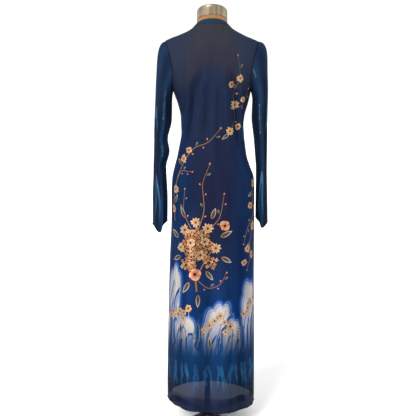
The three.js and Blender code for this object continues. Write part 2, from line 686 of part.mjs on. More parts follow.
function stand() {
  const group = new THREE.Group();
  const flangeBottom = TORSO_BOTTOM_Z - TOUCH - FLANGE.height;
  group.add(uprightRound('stand_flange', FLANGE.radius, flangeBottom, flangeBottom + FLANGE.height, IRON));
  group.add(uprightRound('stand_pole', POLE_RADIUS, HUB.top + TOUCH, flangeBottom - TOUCH, IRON));
  group.add(uprightRound('stand_hub', HUB.radius, HUB.bottom, HUB.top, IRON));
  for (let leg = 0; leg < 4; leg += 1) {
    const turn = Math.PI / 4 + (leg * Math.PI) / 2;
    group.add(standLeg(`stand_leg_${leg + 1}`, turn));
    group.add(standFoot(`stand_foot_${leg + 1}`, turn));
  }
  group.position.x = STAND_X;
  return group;
}

const dress = new THREE.Group();
dress.add(backPanel());
dress.add(frontPanel('front_right_over', 'over'));
dress.add(frontPanel('front_left_under', 'under'));
dress.add(backBand());
dress.add(frontBand('neckband_right', 'over'));
dress.add(frontBand('neckband_left', 'under'));
dress.add(sleeve('sleeve_left', 'left'));
dress.add(sleeve('sleeve_right', 'right'));

const form = new THREE.Group();
form.add(formTorso());
form.add(formCap());
form.add(stand());

const part = new THREE.Group();
part.add(dress);
part.add(form);

export default part;
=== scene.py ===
"""The looks of a full-length wrap dress of fine printed mesh on a limbless dress form.

The cloth is made as thin sheets on the form of the frame's solids. A place on the body's cloth is given
in millimetres of its flat pattern: how far across it lies from the centre back, plus towards the right
side, and its height. Angles round the body are in degrees: 0 is the left side seam, 90 the centre back,
180 the right side seam, 270 the centre front, and minus angles carry on from the left seam to the front.
"""
import math

import bpy
import numpy as np
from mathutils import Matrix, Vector
from mathutils.geometry import delaunay_2d_cdt


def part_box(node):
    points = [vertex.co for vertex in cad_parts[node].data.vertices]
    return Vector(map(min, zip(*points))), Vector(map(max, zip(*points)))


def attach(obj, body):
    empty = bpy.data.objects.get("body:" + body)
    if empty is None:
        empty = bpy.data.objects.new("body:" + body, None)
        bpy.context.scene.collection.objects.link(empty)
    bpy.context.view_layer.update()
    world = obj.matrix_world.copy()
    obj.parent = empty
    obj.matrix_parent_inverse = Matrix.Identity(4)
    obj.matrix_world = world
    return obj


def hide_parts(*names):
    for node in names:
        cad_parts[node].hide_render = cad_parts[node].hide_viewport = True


MM = 0.001

# Dress, in millimetres, as the frame's solids have it
CLOTH = 1.5
LAYERS = {"over": 2.2, "under": -1.8}
LAYERS_END = (1350, 1410)
LAYERS_START = (1.5, 10)
LAYERS_DRAWN = (1195, 1285, 34)
BAND = 19
FOLD_FADE = 60
HEM_Z = 88
UNDERARM_Z = 1306
SHOULDER_Z = 1487
NECK_SEAM_Z = 1534
NECK_TOP_Z = 1549
HEM_DROP = 14
HEM_DROP_Z = 420
SLEEVE_TOP_Z = 1270
TORSO_BOTTOM_Z = 842
NECK_END_Z = 1565
CAP_RADIUS = 57
CAP_HEIGHT = 41
CAP_SLOPE = 0.29
CAP_ROUND = (9, 11)
NECK_RINGS = ((1557, 57, 57, 48), (NECK_END_Z, 56.4, 56.4, 52.4))
HEM_FLUTTER_HIGH = 130
SHOULDER_FROM = (60, 125)
SHOULDER_RISE = (1425, 1487)
SHOULDER_FALL = (1497, 1528)
SHOULDER_CORNER = {"left": 5, "right": 9}
SHOULDER_LIFT = {"left": 4.0, "right": 0.3}
CORNER_TURN = 0.045
CORNER_FADE = (0.18, 0.65)

# Sewing and mesh sizes, in millimetres
GRID = 5.0
YOKE_Z = 1440
GRID_EDGE = 2.2
HEM_ROLL = (3.2, 1.5)
SEAM_ROLL = (1.9, 0.8)
STITCH = (2.3, 0.5, 0.35)
STITCH_STEPS = {"seam": 3.6, "hem": 3.8, "band": 3.4}
SLEEVE_COLUMNS = 96
SLEEVE_RADIUS = 36.0
SLEEVE_LENGTH = 700
TORSO_SIDES = 96
STAND_SIDES = 48
STAND_BEVEL = 1.6
POLE_BEVEL = 0.8
LEG_BEVEL = 1.2
SHARP_FROM = 40
MESH_PERIOD = 1.1
THREAD_PERIOD = 0.5
THREAD_TURNS = (38, -38)

# The mesh lets a little light through near the hem: height, and how much
SHEER_Z = 300
SHEER_STOPS = [(138, 0.02), (SHEER_Z, 0.0), (150, 0.045), (205, 0.042)]

# The band's section: share of its width, and how far it stands out
BAND_PROFILE = [
    (0.0, -0.9), (0.0, 0.5), (0.07, 0.95), (0.16, 0.8), (0.5, 0.95), (0.86, 1.0),
    (0.96, 0.8), (1.02, 0.1), (0.98, -0.6), (0.86, -0.9), (0.5, -0.9),
]

# Panels: name of the sheet, the solid that it stands for, and its rolled hem
PANELS = {
    "back": ("cloth_back", "back_panel", "hem_back"),
    "over": ("cloth_front_right", "front_right_over", "hem_front_right"),
    "under": ("cloth_front_left", "front_left_under", "hem_front_left"),
}

# Stage: half the floor's side in millimetres, the suns' power, spread and turn in degrees, and the
# camera's place in metres and its pitch
FLOOR_HALF = 40000
FLOOR_GREYS = (0.86, 0.9)
WORLD_LIGHT = 1.1
SUNS = {"key": (3.4, 25, (54, 0, 148)), "fill": (0.5, 60, (65, 0, 235))}
CAMERA_AT = (0.0154, 2.6, 1.27)
CAMERA_DOWN = 8.98
CAMERA_LENS = 58.5
CAMERA_SENSOR = 36


def table(columns, rows):
    """A table's columns as smooth curves over its first one, which never overshoot between two rows."""
    at, *rest = np.array(rows, float).T
    return {name: curve(at, values) for name, values in zip(columns.split()[1:], rest)}


def curve(at, values):
    slope = np.diff(values) / np.diff(at)
    turns = slope[:-1] * slope[1:] <= 0
    total = np.where(turns, 1, slope[:-1] + slope[1:])
    middle = np.where(turns, 0, 2 * slope[:-1] * slope[1:] / total)
    tangent = np.concatenate([slope[:1], middle, slope[-1:]])

    def value(place):
        place = np.clip(np.asarray(place, float), at[0], at[-1])
        i = np.clip(np.searchsorted(at, place) - 1, 0, len(at) - 2)
        span = at[i + 1] - at[i]
        t = (place - at[i]) / span
        return (
            values[i] * (2 * t**3 - 3 * t**2 + 1)
            + tangent[i] * span * (t**3 - 2 * t**2 + t)
            + values[i + 1] * (3 * t**2 - 2 * t**3)
            + tangent[i + 1] * span * (t**3 - t**2)
        )

    return value


BODY = table("z half back front shift square rise", [
    (88, 174, 152, 160, 4, 2.0, 0),
    (165, 175, 150, 157, 4, 2.0, 0),
    (337, 172.8, 145, 150, 2.8, 2.05, 0),
    (507, 169, 140, 143, 2, 2.1, 0),
    (673, 165.5, 135, 136, -0.5, 2.15, 0),
    (839, 161.2, 130, 129, -4, 2.2, 0),
    (930, 160.5, 128, 122, -4, 2.2, 0),
    (980, 157.5, 126, 119, -4, 2.2, 0),
    (1019, 146.5, 120, 115, -1.5, 2.2, 0),
    (1058, 134.7, 109, 109, 0, 2.2, 0),
    (1100, 127, 97, 103, -1, 2.2, 0),
    (1150, 120, 87, 98, -2.5, 2.2, 0),
    (1180, 119.5, 85, 98, -1, 2.2, 0),
    (1210, 121, 87, 103, -2, 2.25, 0),
    (1260, 133, 94, 119, -3, 2.35, 0),
    (1290, 142, 98, 124, -1.2, 2.4, 0),
    (1306, 146.6, 100, 122, 0, 2.45, 0),
    (1320, 150, 101, 119, 0, 2.5, 0),
    (1360, 160, 103, 104, 0, 2.6, 0),
    (1400, 168, 101, 86, 0, 2.6, 0),
    (1440, 174, 96, 70, 0, 2.4, 0),
    (1470, 177, 88, 57, 0, 2.2, 2),
    (1487, 176, 81, 49, 0, 2.1, 5),
    (1497, 157, 77, 45, 0, 2.1, 7),
    (1505, 134, 73, 42, 0, 2.1, 9.5),
    (1514, 114, 70, 40, 0, 2.05, 12.5),
    (1524, 93, 66.5, 41, 0, 2.0, 15.5),
    (1534, 76, 63, 43, 0, 2.0, 17.5),
    (1541, 67.5, 61, 45, 0, 2.0, 19),
    (1549, 60, 59.5, 48, 0, 2.0, 19.5),
])
ARMHOLE = table("z back front", [
    (1306, 146.4, 146.4),
    (1309, 147.1, 146.8),
    (1316, 147.5, 145),
    (1330, 146.5, 140),
    (1357, 146, 137),
    (1400, 150, 139),
    (1440, 158, 150),
    (1470, 169, 165),
    (1487, 176, 176),
])
WRAP_EDGE = table("z over under", [
    (88, -108, -76),
    (507, -116, -84),
    (930, -122, -96),
    (1058, -113, -104),
    (1130, -110, -106),
    (1172, -112, -108),
    (1195, -99, -97),
    (1220, -73, -72),
    (1245, -49, -49),
    (1275, -28, -28),
    (1305, -12, -12),
    (1335, 0, 0),
    (1370, 12, 12),
    (1410, 25, 25),
    (1450, 37, 37),
    (1487, 48, 48),
    (1514, 56, 56),
    (1534, 60, 60),
    (1549, 57.5, 57.5),
])
FORM_CLEARANCE = table("z gap", [
    (842, 9), (930, 6), (1019, 6), (1180, 7), (1290, 6),
    (1360, 5), (1430, 3.2), (1470, 3.2), (1500, 2.6), (1549, 1.4),
])

# Folds: angle at the top and foot, heights of both, half width, and height (a trough has a minus)
BODY_FOLDS = [
    (78, 38, 1390, 1150, 10, -3.6),
    (84, 60, 1400, 1160, 10, 2.6),
    (92, 92, 1425, 1180, 9, 2.4),
    (101, 105, 1425, 1175, 9, 2.6),
    (111, 141, 1405, 1140, 10, -4),
    (120, 152, 1390, 1170, 10, 2.4),
    (62, 58, 900, 80, 17, 3.2),
    (76, 74, 820, 80, 14, -2.6),
    (104, 106, 760, 80, 20, 3.0),
    (128, 131, 860, 80, 18, -3.0),
    (26, 24, 760, 80, 18, -2.4),
    (156, 158, 700, 80, 18, 2.4),
    (212, 208, 930, 80, 18, 2.8),
    (238, 240, 880, 80, 20, -3.0),
    (262, 258, 1000, 80, 18, 3.2),
    (286, 290, 960, 80, 20, -3.0),
    (334, 336, 900, 80, 18, 3.0),
    (300, 332, 1290, 1190, 16, 2.4),
    (250, 212, 1290, 1180, 16, 2.2),
]

# Creases that only the cloth has, in the same columns
BODY_CREASES = [
    (86, 78, 1330, 1120, 5, 1.1),
    (96, 99, 1345, 1090, 5, -1.2),
    (89, 88, 1290, 1040, 6, 0.8),
    (106, 117, 1350, 1130, 5, 1.2),
    (115, 131, 1320, 1160, 5, -0.9),
    (111, 139, 1398, 1165, 5, -1.7),
    (69, 47, 1385, 1190, 5, -1.5),
    (81, 78, 1370, 1200, 6, -1.1),
    (64, 60, 850, 560, 7, 1.3),
    (70, 67, 800, 500, 6, -1.3),
    (78, 74, 740, 470, 7, 1.2),
    (71, 50, 1340, 1170, 5, 1.2),
    (66, 36, 1310, 1180, 5, -1.0),
    (58, 30, 1300, 1205, 6, 1.0),
    (128, 152, 1330, 1195, 5, 1.1),
    (134, 158, 1310, 1205, 5, -0.9),
    (20, 38, 1300, 1330, 7, 0.8),
    (30, 24, 1250, 1160, 6, 0.9),
    (148, 157, 1250, 1140, 6, 0.9),
    (50, 44, 1120, 960, 8, 0.8),
    (136, 141, 1100, 950, 8, 0.8),
    (68, 64, 640, 80, 9, 1.3),
    (84, 86, 560, 80, 8, -1.3),
    (93, 95, 700, 80, 10, 1.1),
    (113, 116, 610, 80, 8, -1.4),
    (120, 122, 480, 80, 8, 1.2),
    (140, 143, 540, 80, 9, 1.3),
    (48, 45, 520, 80, 9, -1.3),
    (38, 36, 690, 80, 10, 1.2),
    (14, 12, 560, 80, 9, 1.1),
    (166, 169, 600, 80, 9, -1.1),
    (200, 197, 560, 80, 9, -1.2),
    (224, 222, 660, 80, 10, 1.3),
    (250, 247, 520, 80, 9, 1.3),
    (274, 276, 640, 80, 10, -1.2),
    (300, 303, 560, 80, 9, 1.2),
    (318, 320, 500, 80, 9, -1.1),
    (348, 347, 620, 80, 9, 1.2),
    (243, 206, 1270, 1150, 7, -1.2),
    (258, 218, 1285, 1165, 7, 1.1),
    (290, 335, 1275, 1160, 7, -1.2),
    (308, 340, 1300, 1200, 7, 1.1),
    (225, 200, 1340, 1230, 7, 1.0),
    (315, 341, 1360, 1250, 7, 1.0),
]

SLEEVES = {
    "left": table("z middle half deep y", [
        (768, 203, 29.5, 40, -6),
        (898, 201, 30, 38, -6),
        (1019, 201.2, 25.8, 42, -5),
        (1082, 193.2, 31.2, 42, -3),
        (1125, 195.6, 27.5, 46, -2),
        (1195, 186.8, 34, 45, 0),
        (1270, 183.5, 33, 47, 2),
    ]),
    "right": table("z middle half deep y", [
        (768, 194.5, 25.5, 41, -6),
        (898, 192.6, 24, 39, -6),
        (1017, 190.6, 22.4, 42, -5),
        (1052, 189.2, 23.6, 43, -4),
        (1125, 185.8, 26.8, 45, -2),
        (1212, 180.8, 31, 46, 1),
        (1270, 182, 30.5, 47, 2),
    ]),
}

# Angle 0 is the sleeve's outer side, 90 behind and 180 beside the body
SLEEVE_FOLDS = {
    "left": [
        (52, 48, 1400, 770, 17, -3.4),
        (86, 96, 1380, 770, 15, 3.0),
        (122, 138, 1330, 770, 17, -4.2),
        (236, 228, 1340, 770, 17, -3.6),
        (300, 306, 1380, 770, 17, -3.2),
    ],
    "right": [
        (58, 60, 1400, 770, 16, -3.6),
        (104, 92, 1370, 770, 16, 2.8),
        (138, 126, 1330, 770, 17, -3.8),
        (228, 236, 1340, 770, 17, -3.6),
        (296, 302, 1380, 770, 17, -3.0),
    ],
}
SLEEVE_CREASES = {
    "left": [
        (70, 64, 1420, 1180, 5, 1.2),
        (104, 110, 1330, 1120, 5, 1.3),
        (60, 74, 1180, 900, 5, 1.1),
        (112, 92, 1080, 860, 5, -1.4),
        (76, 84, 1010, 780, 5, 1.2),
        (30, 38, 1300, 1000, 6, -1.2),
        (150, 120, 1150, 1090, 8, 1.8),
        (165, 110, 1100, 1040, 7, -1.6),
        (160, 128, 1060, 1000, 7, 1.4),
        (128, 116, 960, 800, 6, 1.3),
        (20, 14, 1060, 800, 6, 1.2),
        (214, 222, 1300, 900, 6, 1.2),
        (258, 250, 1250, 800, 6, 1.2),
        (284, 290, 1350, 950, 6, -1.1),
        (332, 326, 1200, 800, 6, 1.2),
    ],
    "right": [
        (80, 72, 1420, 1200, 5, 1.2),
        (118, 112, 1340, 1100, 5, -1.3),
        (70, 82, 1200, 930, 5, 1.2),
        (102, 112, 1120, 880, 5, 1.2),
        (84, 74, 980, 790, 5, -1.3),
        (36, 30, 1260, 980, 6, 1.2),
        (158, 122, 1160, 1100, 8, 1.6),
        (164, 126, 1090, 1030, 7, -1.4),
        (140, 150, 940, 800, 6, 1.2),
        (16, 22, 1020, 800, 6, -1.2),
        (210, 218, 1280, 900, 6, 1.2),
        (252, 260, 1240, 800, 6, 1.2),
        (280, 272, 1350, 950, 6, -1.1),
        (330, 338, 1200, 800, 6, 1.2),
    ],
}

# Cuff height at the outer side, drop of the corner behind, and rise beside the body
CUFFS = {"left": (797, -28, 13), "right": (805, -19, 21)}
SLEEVE_PEAKS = {"left": [(1245, 100, -34), (985, 190, -14)], "right": [(1240, 90, -42), (1000, 200, 6)]}
# Painted light: how much lighter the inner side of each sleeve is painted, against the key light's shade
# there
SLEEVE_INSIDE_PAINTED_LIGHT = {"left": 1.3, "right": 0.1}
CUFF_CORNER = ((4, 97), (99, 117), 0.92)
CUFF_INNER = (180, 48)

# Colours as they look, 0 to 255
CREAM = (236, 204, 158)
IVORY = (206, 200, 196)
PEACH = (212, 146, 94)
SAND = (178, 134, 88)
GOLD = (166, 120, 58)
OLIVE = (112, 104, 58)
RUST = (164, 44, 24)
EMBER = (214, 78, 36)
BROWN = (70, 36, 28)
INK = (16, 22, 44)
TEAL = (48, 104, 136)
MIST = (160, 172, 206)
SKY = (92, 128, 190)
ROYAL = (12, 72, 152)
LAGOON = (34, 92, 150)
REED = (38, 94, 142)
STEM = (122, 116, 96)
FERN_BLUE = (30, 74, 110)
BLADE_DARK = (26, 70, 116)
BLADE_PALE = (104, 138, 150)
OLIVE_LEAF = (OLIVE, TEAL)
BAND_TEAL = (44, 73, 99)
THREAD_BLUE = (30, 48, 78)
SLEEVE_DARK = (24, 38, 64)
SLEEVE_HEAD = (32, 52, 83)
# Painted sheen highlight streaks on the sleeves
SHEEN_STREAK_BLUE = (40, 98, 146)
PEAK_BLUE = (66, 128, 176)
DASH_BLUE = (112, 142, 162)
LINEN_TONES = ((108, 68, 30), (158, 108, 55))
PEWTER_TONES = ((92, 83, 68), (172, 158, 134))
IRON_TONES = ((24, 25, 28), (44, 46, 50))
FLORET_TINTS = [(PEACH, CREAM), (SAND, PEACH), (GOLD, SAND), (PEACH, PEACH)]

# Layers of a hill, lowest first: move aside as a share of its width, drop, width and height as shares,
# and the colours at its foot and top
HILL_LAYERS = [
    (0, 0, 1.3, 1.12, ROYAL, ROYAL),
    (0, 0, 1.14, 1.06, LAGOON, SKY),
    (0, 0, 1.05, 1.02, INK, INK),
    (0, 0, 1.0, 1.0, MIST, MIST),
    (0.05, -4, 0.84, 0.93, IVORY, IVORY),
    (-0.17, -14, 0.40, 0.66, SKY, SKY),
    (-0.15, -18, 0.32, 0.6, MIST, IVORY),
    (0.22, -22, 0.26, 0.5, INK, ROYAL),
    (0.24, -26, 0.2, 0.42, SKY, MIST),
    (-0.19, -40, 0.09, 0.3, ROYAL, ROYAL),
]

# Hills: across, height of the top, width, height, bumps, height of the foot, and lean
HILLS = [
    (-172, 640, 70, 120, 3, 285, 0.6),
    (-108, 452, 96, 64, 3, 275, -0.9),
    (16, 512, 92, 118, 4, 280, 1.1),
    (84, 436, 76, 92, 3, 275, -0.5),
    (172, 566, 84, 120, 3, 285, -1.0),
    (262, 440, 90, 80, 3, 270, 0.7),
    (-262, 470, 96, 92, 3, 275, 1.2),
    (-352, 590, 84, 130, 4, 285, -0.7),
    (-442, 440, 90, 76, 3, 270, 0.5),
    (350, 600, 84, 140, 3, 285, 0.9),
    (436, 450, 92, 82, 3, 275, -1.1),
    (505, 540, 80, 110, 3, 280, 0.4),
]

# Share of light that dyed cloth gives back, against the colours above, and its change for each
# millimetre that a fold stands out: painted light on the ridges, painted shade in the troughs
DYE = 0.43
FOLD_SHADE = 0.085
CREASE_SHADE = 0.17

# Ground colour of the cloth down the centre back and at the sides. It is greyer where the mesh lies
# on the linen.
GROUND_CENTRE = table("z r g b", [
    (88, 33, 41, 70),
    (138, 27, 36, 67),
    (152, 29, 43, 76),
    (200, 24, 45, 80),
    (270, 16, 53, 95),
    (340, 14, 59, 106),
    (470, 15, 50, 99),
    (560, 20, 52, 100),
    (700, 29, 43, 80),
    (900, 34, 40, 71),
    (1180, 33, 44, 72),
    (1290, 37, 48, 76),
    (1345, 55, 56, 71),
    (1440, 58, 60, 72),
    (1549, 62, 63, 70),
])
GROUND_SIDE = table("z r g b", [
    (88, 21, 32, 61),
    (138, 17, 29, 59),
    (152, 17, 31, 60),
    (200, 17, 38, 70),
    (270, 12, 47, 86),
    (340, 11, 52, 98),
    (470, 11, 52, 108),
    (700, 14, 48, 100),
    (900, 18, 48, 92),
    (1180, 29, 50, 86),
    (1290, 33, 44, 72),
    (1345, 46, 53, 76),
    (1440, 50, 60, 84),
    (1549, 46, 56, 80),
])
GROUND_SIDE_AT = (40, 140)
LINEN_EDGE_RISE = 80
LINEN_EDGE_WIDE = (15, 115)
PRINT_FADES = (1330, 1440, 0.45)
NOWHERE = (HEM_Z - 2, HEM_Z - 1)
HILLS_SINK = (300, 452)
STEMS_SINK = (300, 400)
REEDS_SINK = (150, 240)


def smooth(low, high, value):
    t = np.clip((value - low) / (high - low), 0, 1)
    return t * t * (3 - 2 * t)


def unit(vectors):
    return vectors / np.linalg.norm(vectors, axis=-1, keepdims=True)


def linear(colour):
    """Colours 0 to 255 as they look, in linear light."""
    share = np.asarray(colour, float) / 255
    return np.where(share <= 0.04045, share / 12.92, ((share + 0.055) / 1.055) ** 2.4)


def hem_drop(angle, z):
    sideways = (1 - np.cos(np.radians(angle))) / 2
    return HEM_DROP * sideways * (1 - smooth(HEM_Z, HEM_DROP_Z, z))


def plain_body(angle, z):
    """Places on the unfolded outer surface of the dress body, as the frame's solids have it."""
    c = np.cos(np.radians(angle))
    s = np.sin(np.radians(angle))
    square = BODY["square"](z)
    size = (np.abs(c) ** square + np.abs(s) ** square) ** (1 / square)
    deep = s / size
    x = BODY["shift"](z) + BODY["half"](z) * c / size
    y = np.where(s >= 0, BODY["back"](z), BODY["front"](z)) * deep
    return np.stack([x, y, z + BODY["rise"](z) * deep - hem_drop(angle, z)], -1)


def body_normal(angle, z):
    around = plain_body(angle + 0.5, z) - plain_body(angle - 0.5, z)
    up = plain_body(angle, np.minimum(z + 1, NECK_TOP_Z)) - plain_body(angle, np.maximum(z - 1, HEM_Z))
    return unit(np.cross(around, up))


def fold_height(folds, angle, z, radius):
    """How far the folds move the cloth outwards. Each runs from its top to its foot and fades at both."""
    total = 0
    for top, foot, high, low, width, height in folds:
        middle = top + (foot - top) * np.clip((high - z) / (high - low), 0, 1)
        apart = np.radians((angle - middle + 540) % 360 - 180) * radius
        ends = smooth(low - FOLD_FADE, low, z) - smooth(high - FOLD_FADE, high, z)
        total = total + height * ends * np.exp(-((apart / width) ** 2))
    return total


def fold_shade(folds, creases, angle, z, radius):
    """Painted light and shade: how much lighter the cloth's colour is painted on the ridges and darker in the
    troughs.
    """
    return np.exp(FOLD_SHADE * fold_height(folds, angle, z, radius)
                  + CREASE_SHADE * fold_height(creases, angle, z, radius))


def hem_flutter(angle, z):
    """The free hem curls in and out a little, and its edge is never quite level."""
    near = 1 - smooth(HEM_Z, HEM_Z + HEM_FLUTTER_HIGH, z)
    a = np.radians(angle)
    return near * (1.3 * np.sin(7 * a + 0.6) + 1.0 * np.sin(12 * a + 2.1) + 0.6 * np.sin(23 * a))


def front_lift(angle, z):
    """Where the fronts lap, one is lifted and the other sunk. It is nothing on the back."""
    alpha = np.where(angle > 180, angle - 180, -angle)
    height = np.where(angle > 180, LAYERS["over"], LAYERS["under"])
    start = LAYERS_START[0] + LAYERS_DRAWN[2] * smooth(*LAYERS_DRAWN[:2], z)
    lapped = smooth(0, 1, (alpha - start) / LAYERS_START[1])
    return height * lapped * (1 - smooth(*LAYERS_END, z))


def body_cloth(angle, z, out=0.0):
    """Places of the body's cloth in millimetres, and as much further out as is asked."""
    angle, z = np.broadcast_arrays(np.asarray(angle, float), np.asarray(z, float))
    base = plain_body(angle, z)
    radius = np.hypot(base[..., 0], base[..., 1])
    folds = fold_height(BODY_FOLDS, angle, z, radius) + fold_height(BODY_CREASES, angle, z, radius)
    away = folds + hem_flutter(angle, z) + front_lift(angle, z) - CLOTH / 2 + out
    place = base + body_normal(angle, z) * away[..., None]
    lift = np.where(place[..., 0] > 0, SHOULDER_LIFT["left"], SHOULDER_LIFT["right"])
    across = smooth(*SHOULDER_FROM, np.abs(place[..., 0]))
    place[..., 2] += lift * (across * smooth(*SHOULDER_RISE, z) * (1 - smooth(*SHOULDER_FALL, z)))
    return place


def angle_from_side(distance, z):
    """The angle, from the nearer side seam, of a place this far from the centre line."""
    square = BODY["square"](z)
    share = np.clip(np.abs(distance) / BODY["half"](z), 0, 1)
    angle = np.degrees(np.arctan2((1 - share**square) ** (1 / square), share))
    return np.where(distance >= 0, angle, 180 - angle)


def front_edge(z, front, drawn_back):
    """Angle, from its own side seam, of a front's free edge, drawn back by part of the band's width."""
    z = np.asarray(z, float)
    tilt = (WRAP_EDGE[front](z + 4) - WRAP_EDGE[front](z - 4)) / 8
    return angle_from_side(WRAP_EDGE[front](z) + drawn_back * np.sqrt(1 + tilt**2), z)


# The pattern: how far across a place at some angle and height lies, and the other way round
PATTERN_ANGLES = np.arange(-181.0, 362.0)
PATTERN_Z = np.linspace(HEM_Z, NECK_TOP_Z, 488)
PATTERN_ACROSS = np.arange(-900.0, 901.0, 2.0)


def pattern_tables():
    places = plain_body(PATTERN_ANGLES[None, :], PATTERN_Z[:, None])
    steps = np.linalg.norm(np.diff(places[..., :2], axis=1), axis=-1)
    across = np.concatenate([np.zeros((len(PATTERN_Z), 1)), np.cumsum(steps, axis=1)], axis=1)
    across -= across[:, PATTERN_ANGLES == 90]
    angles = np.array([np.interp(PATTERN_ACROSS, row, PATTERN_ANGLES) for row in across])
    return across, angles


def sampled(grid, columns, column, z):
    """Values of a table over the pattern's heights and evenly spaced columns, blended between them."""
    column, z = np.broadcast_arrays(np.asarray(column, float), np.asarray(z, float))
    c = np.clip((column - columns[0]) / (columns[1] - columns[0]), 0, len(columns) - 1.001)
    r = np.clip((z - PATTERN_Z[0]) / (PATTERN_Z[1] - PATTERN_Z[0]), 0, len(PATTERN_Z) - 1.001)
    c0, r0 = c.astype(int), r.astype(int)
    tc, tr = c - c0, r - r0
    low = grid[r0, c0] * (1 - tc) + grid[r0, c0 + 1] * tc
    high = grid[r0 + 1, c0] * (1 - tc) + grid[r0 + 1, c0 + 1] * tc
    return low * (1 - tr) + high * tr


ACROSS_TABLE, ANGLE_TABLE = pattern_tables()


def across_at(angle, z):
    return sampled(ACROSS_TABLE, PATTERN_ANGLES, angle, z)


def angle_at(across, z):
    return sampled(ANGLE_TABLE, PATTERN_ACROSS, across, z)


def pattern_line(angle, z):
    """A line of pattern places at some angles and heights."""
    angle, z = np.broadcast_arrays(np.asarray(angle, float), np.asarray(z, float))
    return np.stack([across_at(angle, z), z], -1)


# The print. Every shape is an outline in pattern millimetres with a colour that blends along a line.
PRINT = []


def paint(outline, near, far=None, start=(0, 0), end=(0, 1), sinks=NOWHERE):
    """Adds a filled outline over what is painted already, near colour at start and far colour at end.

    Between two heights the shape sinks into the ground below.
    """
    outline = anticlockwise(np.asarray(outline, float))
    far = near if far is None else far
    PRINT.append((outline, linear(near), linear(far), np.array(start, float), np.array(end, float), sinks))


def placed(points, x, z, turn, size=1.0):
    """Points turned by degrees, scaled and moved."""
    c, s = math.cos(math.radians(turn)), math.sin(math.radians(turn))
    along, side = np.asarray(points, float).T * size
    return np.stack([x + along * c - side * s, z + along * s + side * c], -1)


def petal_outline(length, width, fullness=0.75, notch=0.0, points=7):
    """A petal from its foot at 0, 0 along the first axis, widest beyond the middle."""
    t = np.linspace(0, 1, points)
    half = width / 2 * np.sin(math.pi * t**fullness) ** 0.8
    reach = length * t
    side = np.stack([reach, half], -1)[1:-1]
    other = np.stack([reach, -half], -1)[1:-1][::-1]
    tip = [[length * (1 - notch), 0]]
    return np.concatenate([[[0, 0]], other[::-1], tip, side[::-1]])


def disc(x, z, radius, near, far=None, points=10):
    turns = np.linspace(0, 2 * math.pi, points, endpoint=False)
    ring = np.stack([x + radius * np.cos(turns), z + radius * np.sin(turns)], -1)
    paint(ring, near, far, (x, z - radius), (x, z + radius))


def stroke(points, wide, thin, colour, far=None, sinks=NOWHERE):
    """A tapering brush stroke along a smooth line through a few points."""
    points = np.asarray(points, float)
    knots = np.arange(len(points))
    t = np.linspace(0, len(points) - 1, 6 * (len(points) - 1) + 1)
    line = np.stack([curve(knots, points[:, k])(t) for k in (0, 1)], -1)
    along = unit(np.gradient(line, axis=0))
    side = np.stack([-along[:, 1], along[:, 0]], -1)
    half = side * (wide + (thin - wide) * t[:, None] / t[-1]) / 2
    paint(np.concatenate([line + half, (line - half)[::-1]]), colour, far, line[0], line[-1], sinks)
    return line, np.degrees(np.arctan2(along[:, 1], along[:, 0]))


def flower(x, z, radius, petals, turn, colours, width=0.62, notch=0.0, edge=BROWN):
    """An open flower: edged petals that pale towards their tips, a vein in each, and a dotted eye."""
    foot, tip, eye = colours
    shape = petal_outline(radius, radius * width, notch=notch)
    for k in range(petals):
        way = turn + 360 * k / petals + 5 * math.sin(3.7 * k + turn)
        size = 1 + 0.09 * math.sin(2.3 * k + turn)
        end = placed([[radius * 0.9, 0]], x, z, way)[0]
        paint(placed(shape * [1.05, 1.16], x, z, way, size), edge)
        paint(placed(shape, x, z, way, size), foot, tip, (x, z), end)
        paint(placed([[2, -0.3], [radius * 0.66, 0], [2, 0.3]], x, z, way, size), edge)
    disc(x, z, radius * 0.22, eye)
    disc(x, z, radius * 0.11, INK, points=6)
    for k in range(petals + 2):
        spot = placed([[radius * 0.34, 0]], x, z, turn + 360 * (k + 0.5) / (petals + 2))[0]
        disc(*spot, radius * 0.045, CREAM if eye == RUST else RUST, points=5)


def daisy(x, z, radius, turn):
    """Nine narrow petals."""
    flower(x, z, radius, 9, turn, (PEACH, CREAM, RUST), width=0.5)


def cosmos(x, z, radius, turn):
    """Six wide notched petals."""
    flower(x, z, radius, 6, turn, (SAND, CREAM, BROWN), width=0.86, notch=0.1, edge=RUST)


def poppy(x, z, radius, turn):
    """Four petals that lap."""
    flower(x, z, radius, 4, turn, (EMBER, CREAM, INK), width=1.25, notch=0.06, edge=RUST)


def florets(x, z, wide, high, seed):
    """A rounded head of small four-petalled florets."""
    rng = np.random.default_rng(seed)
    golden = math.pi * (3 - math.sqrt(5))
    count = int(wide * high / 235)
    for k in reversed(range(count)):
        out = math.sqrt((k + 0.5) / count)
        cx = x + wide / 2 * out * math.cos(golden * k)
        cz = z + high / 2 * out * math.sin(golden * k)
        size = rng.uniform(7.0, 9.2)
        turn = rng.uniform(0, 90)
        near, far = FLORET_TINTS[k % 4]
        for way in (turn, turn + 90, turn + 180, turn + 270):
            paint(placed(petal_outline(size, size * 0.92, points=5), cx, cz, way, 1.12), BROWN)
            end = placed([[size, 0]], cx, cz, way)[0]
            paint(placed(petal_outline(size, size * 0.8, points=5), cx, cz, way), near, far, (cx, cz), end)
        disc(cx, cz, 1.5, RUST, points=5)


def berry(x, z, size, turn):
    """A rust berry with a cream crown at its free end."""
    body = placed(petal_outline(size * 1.5, size * 1.02, 0.7), x, z, turn)
    paint(body, RUST, EMBER, (x, z), (x + size, z + size))
    foot = placed([[size * 0.85, 0]], x, z, turn)[0]
    crown = placed(petal_outline(size * 0.95, size * 0.9, 0.9), *foot, turn)
    paint(crown, CREAM, PEACH, crown[0], crown[4])


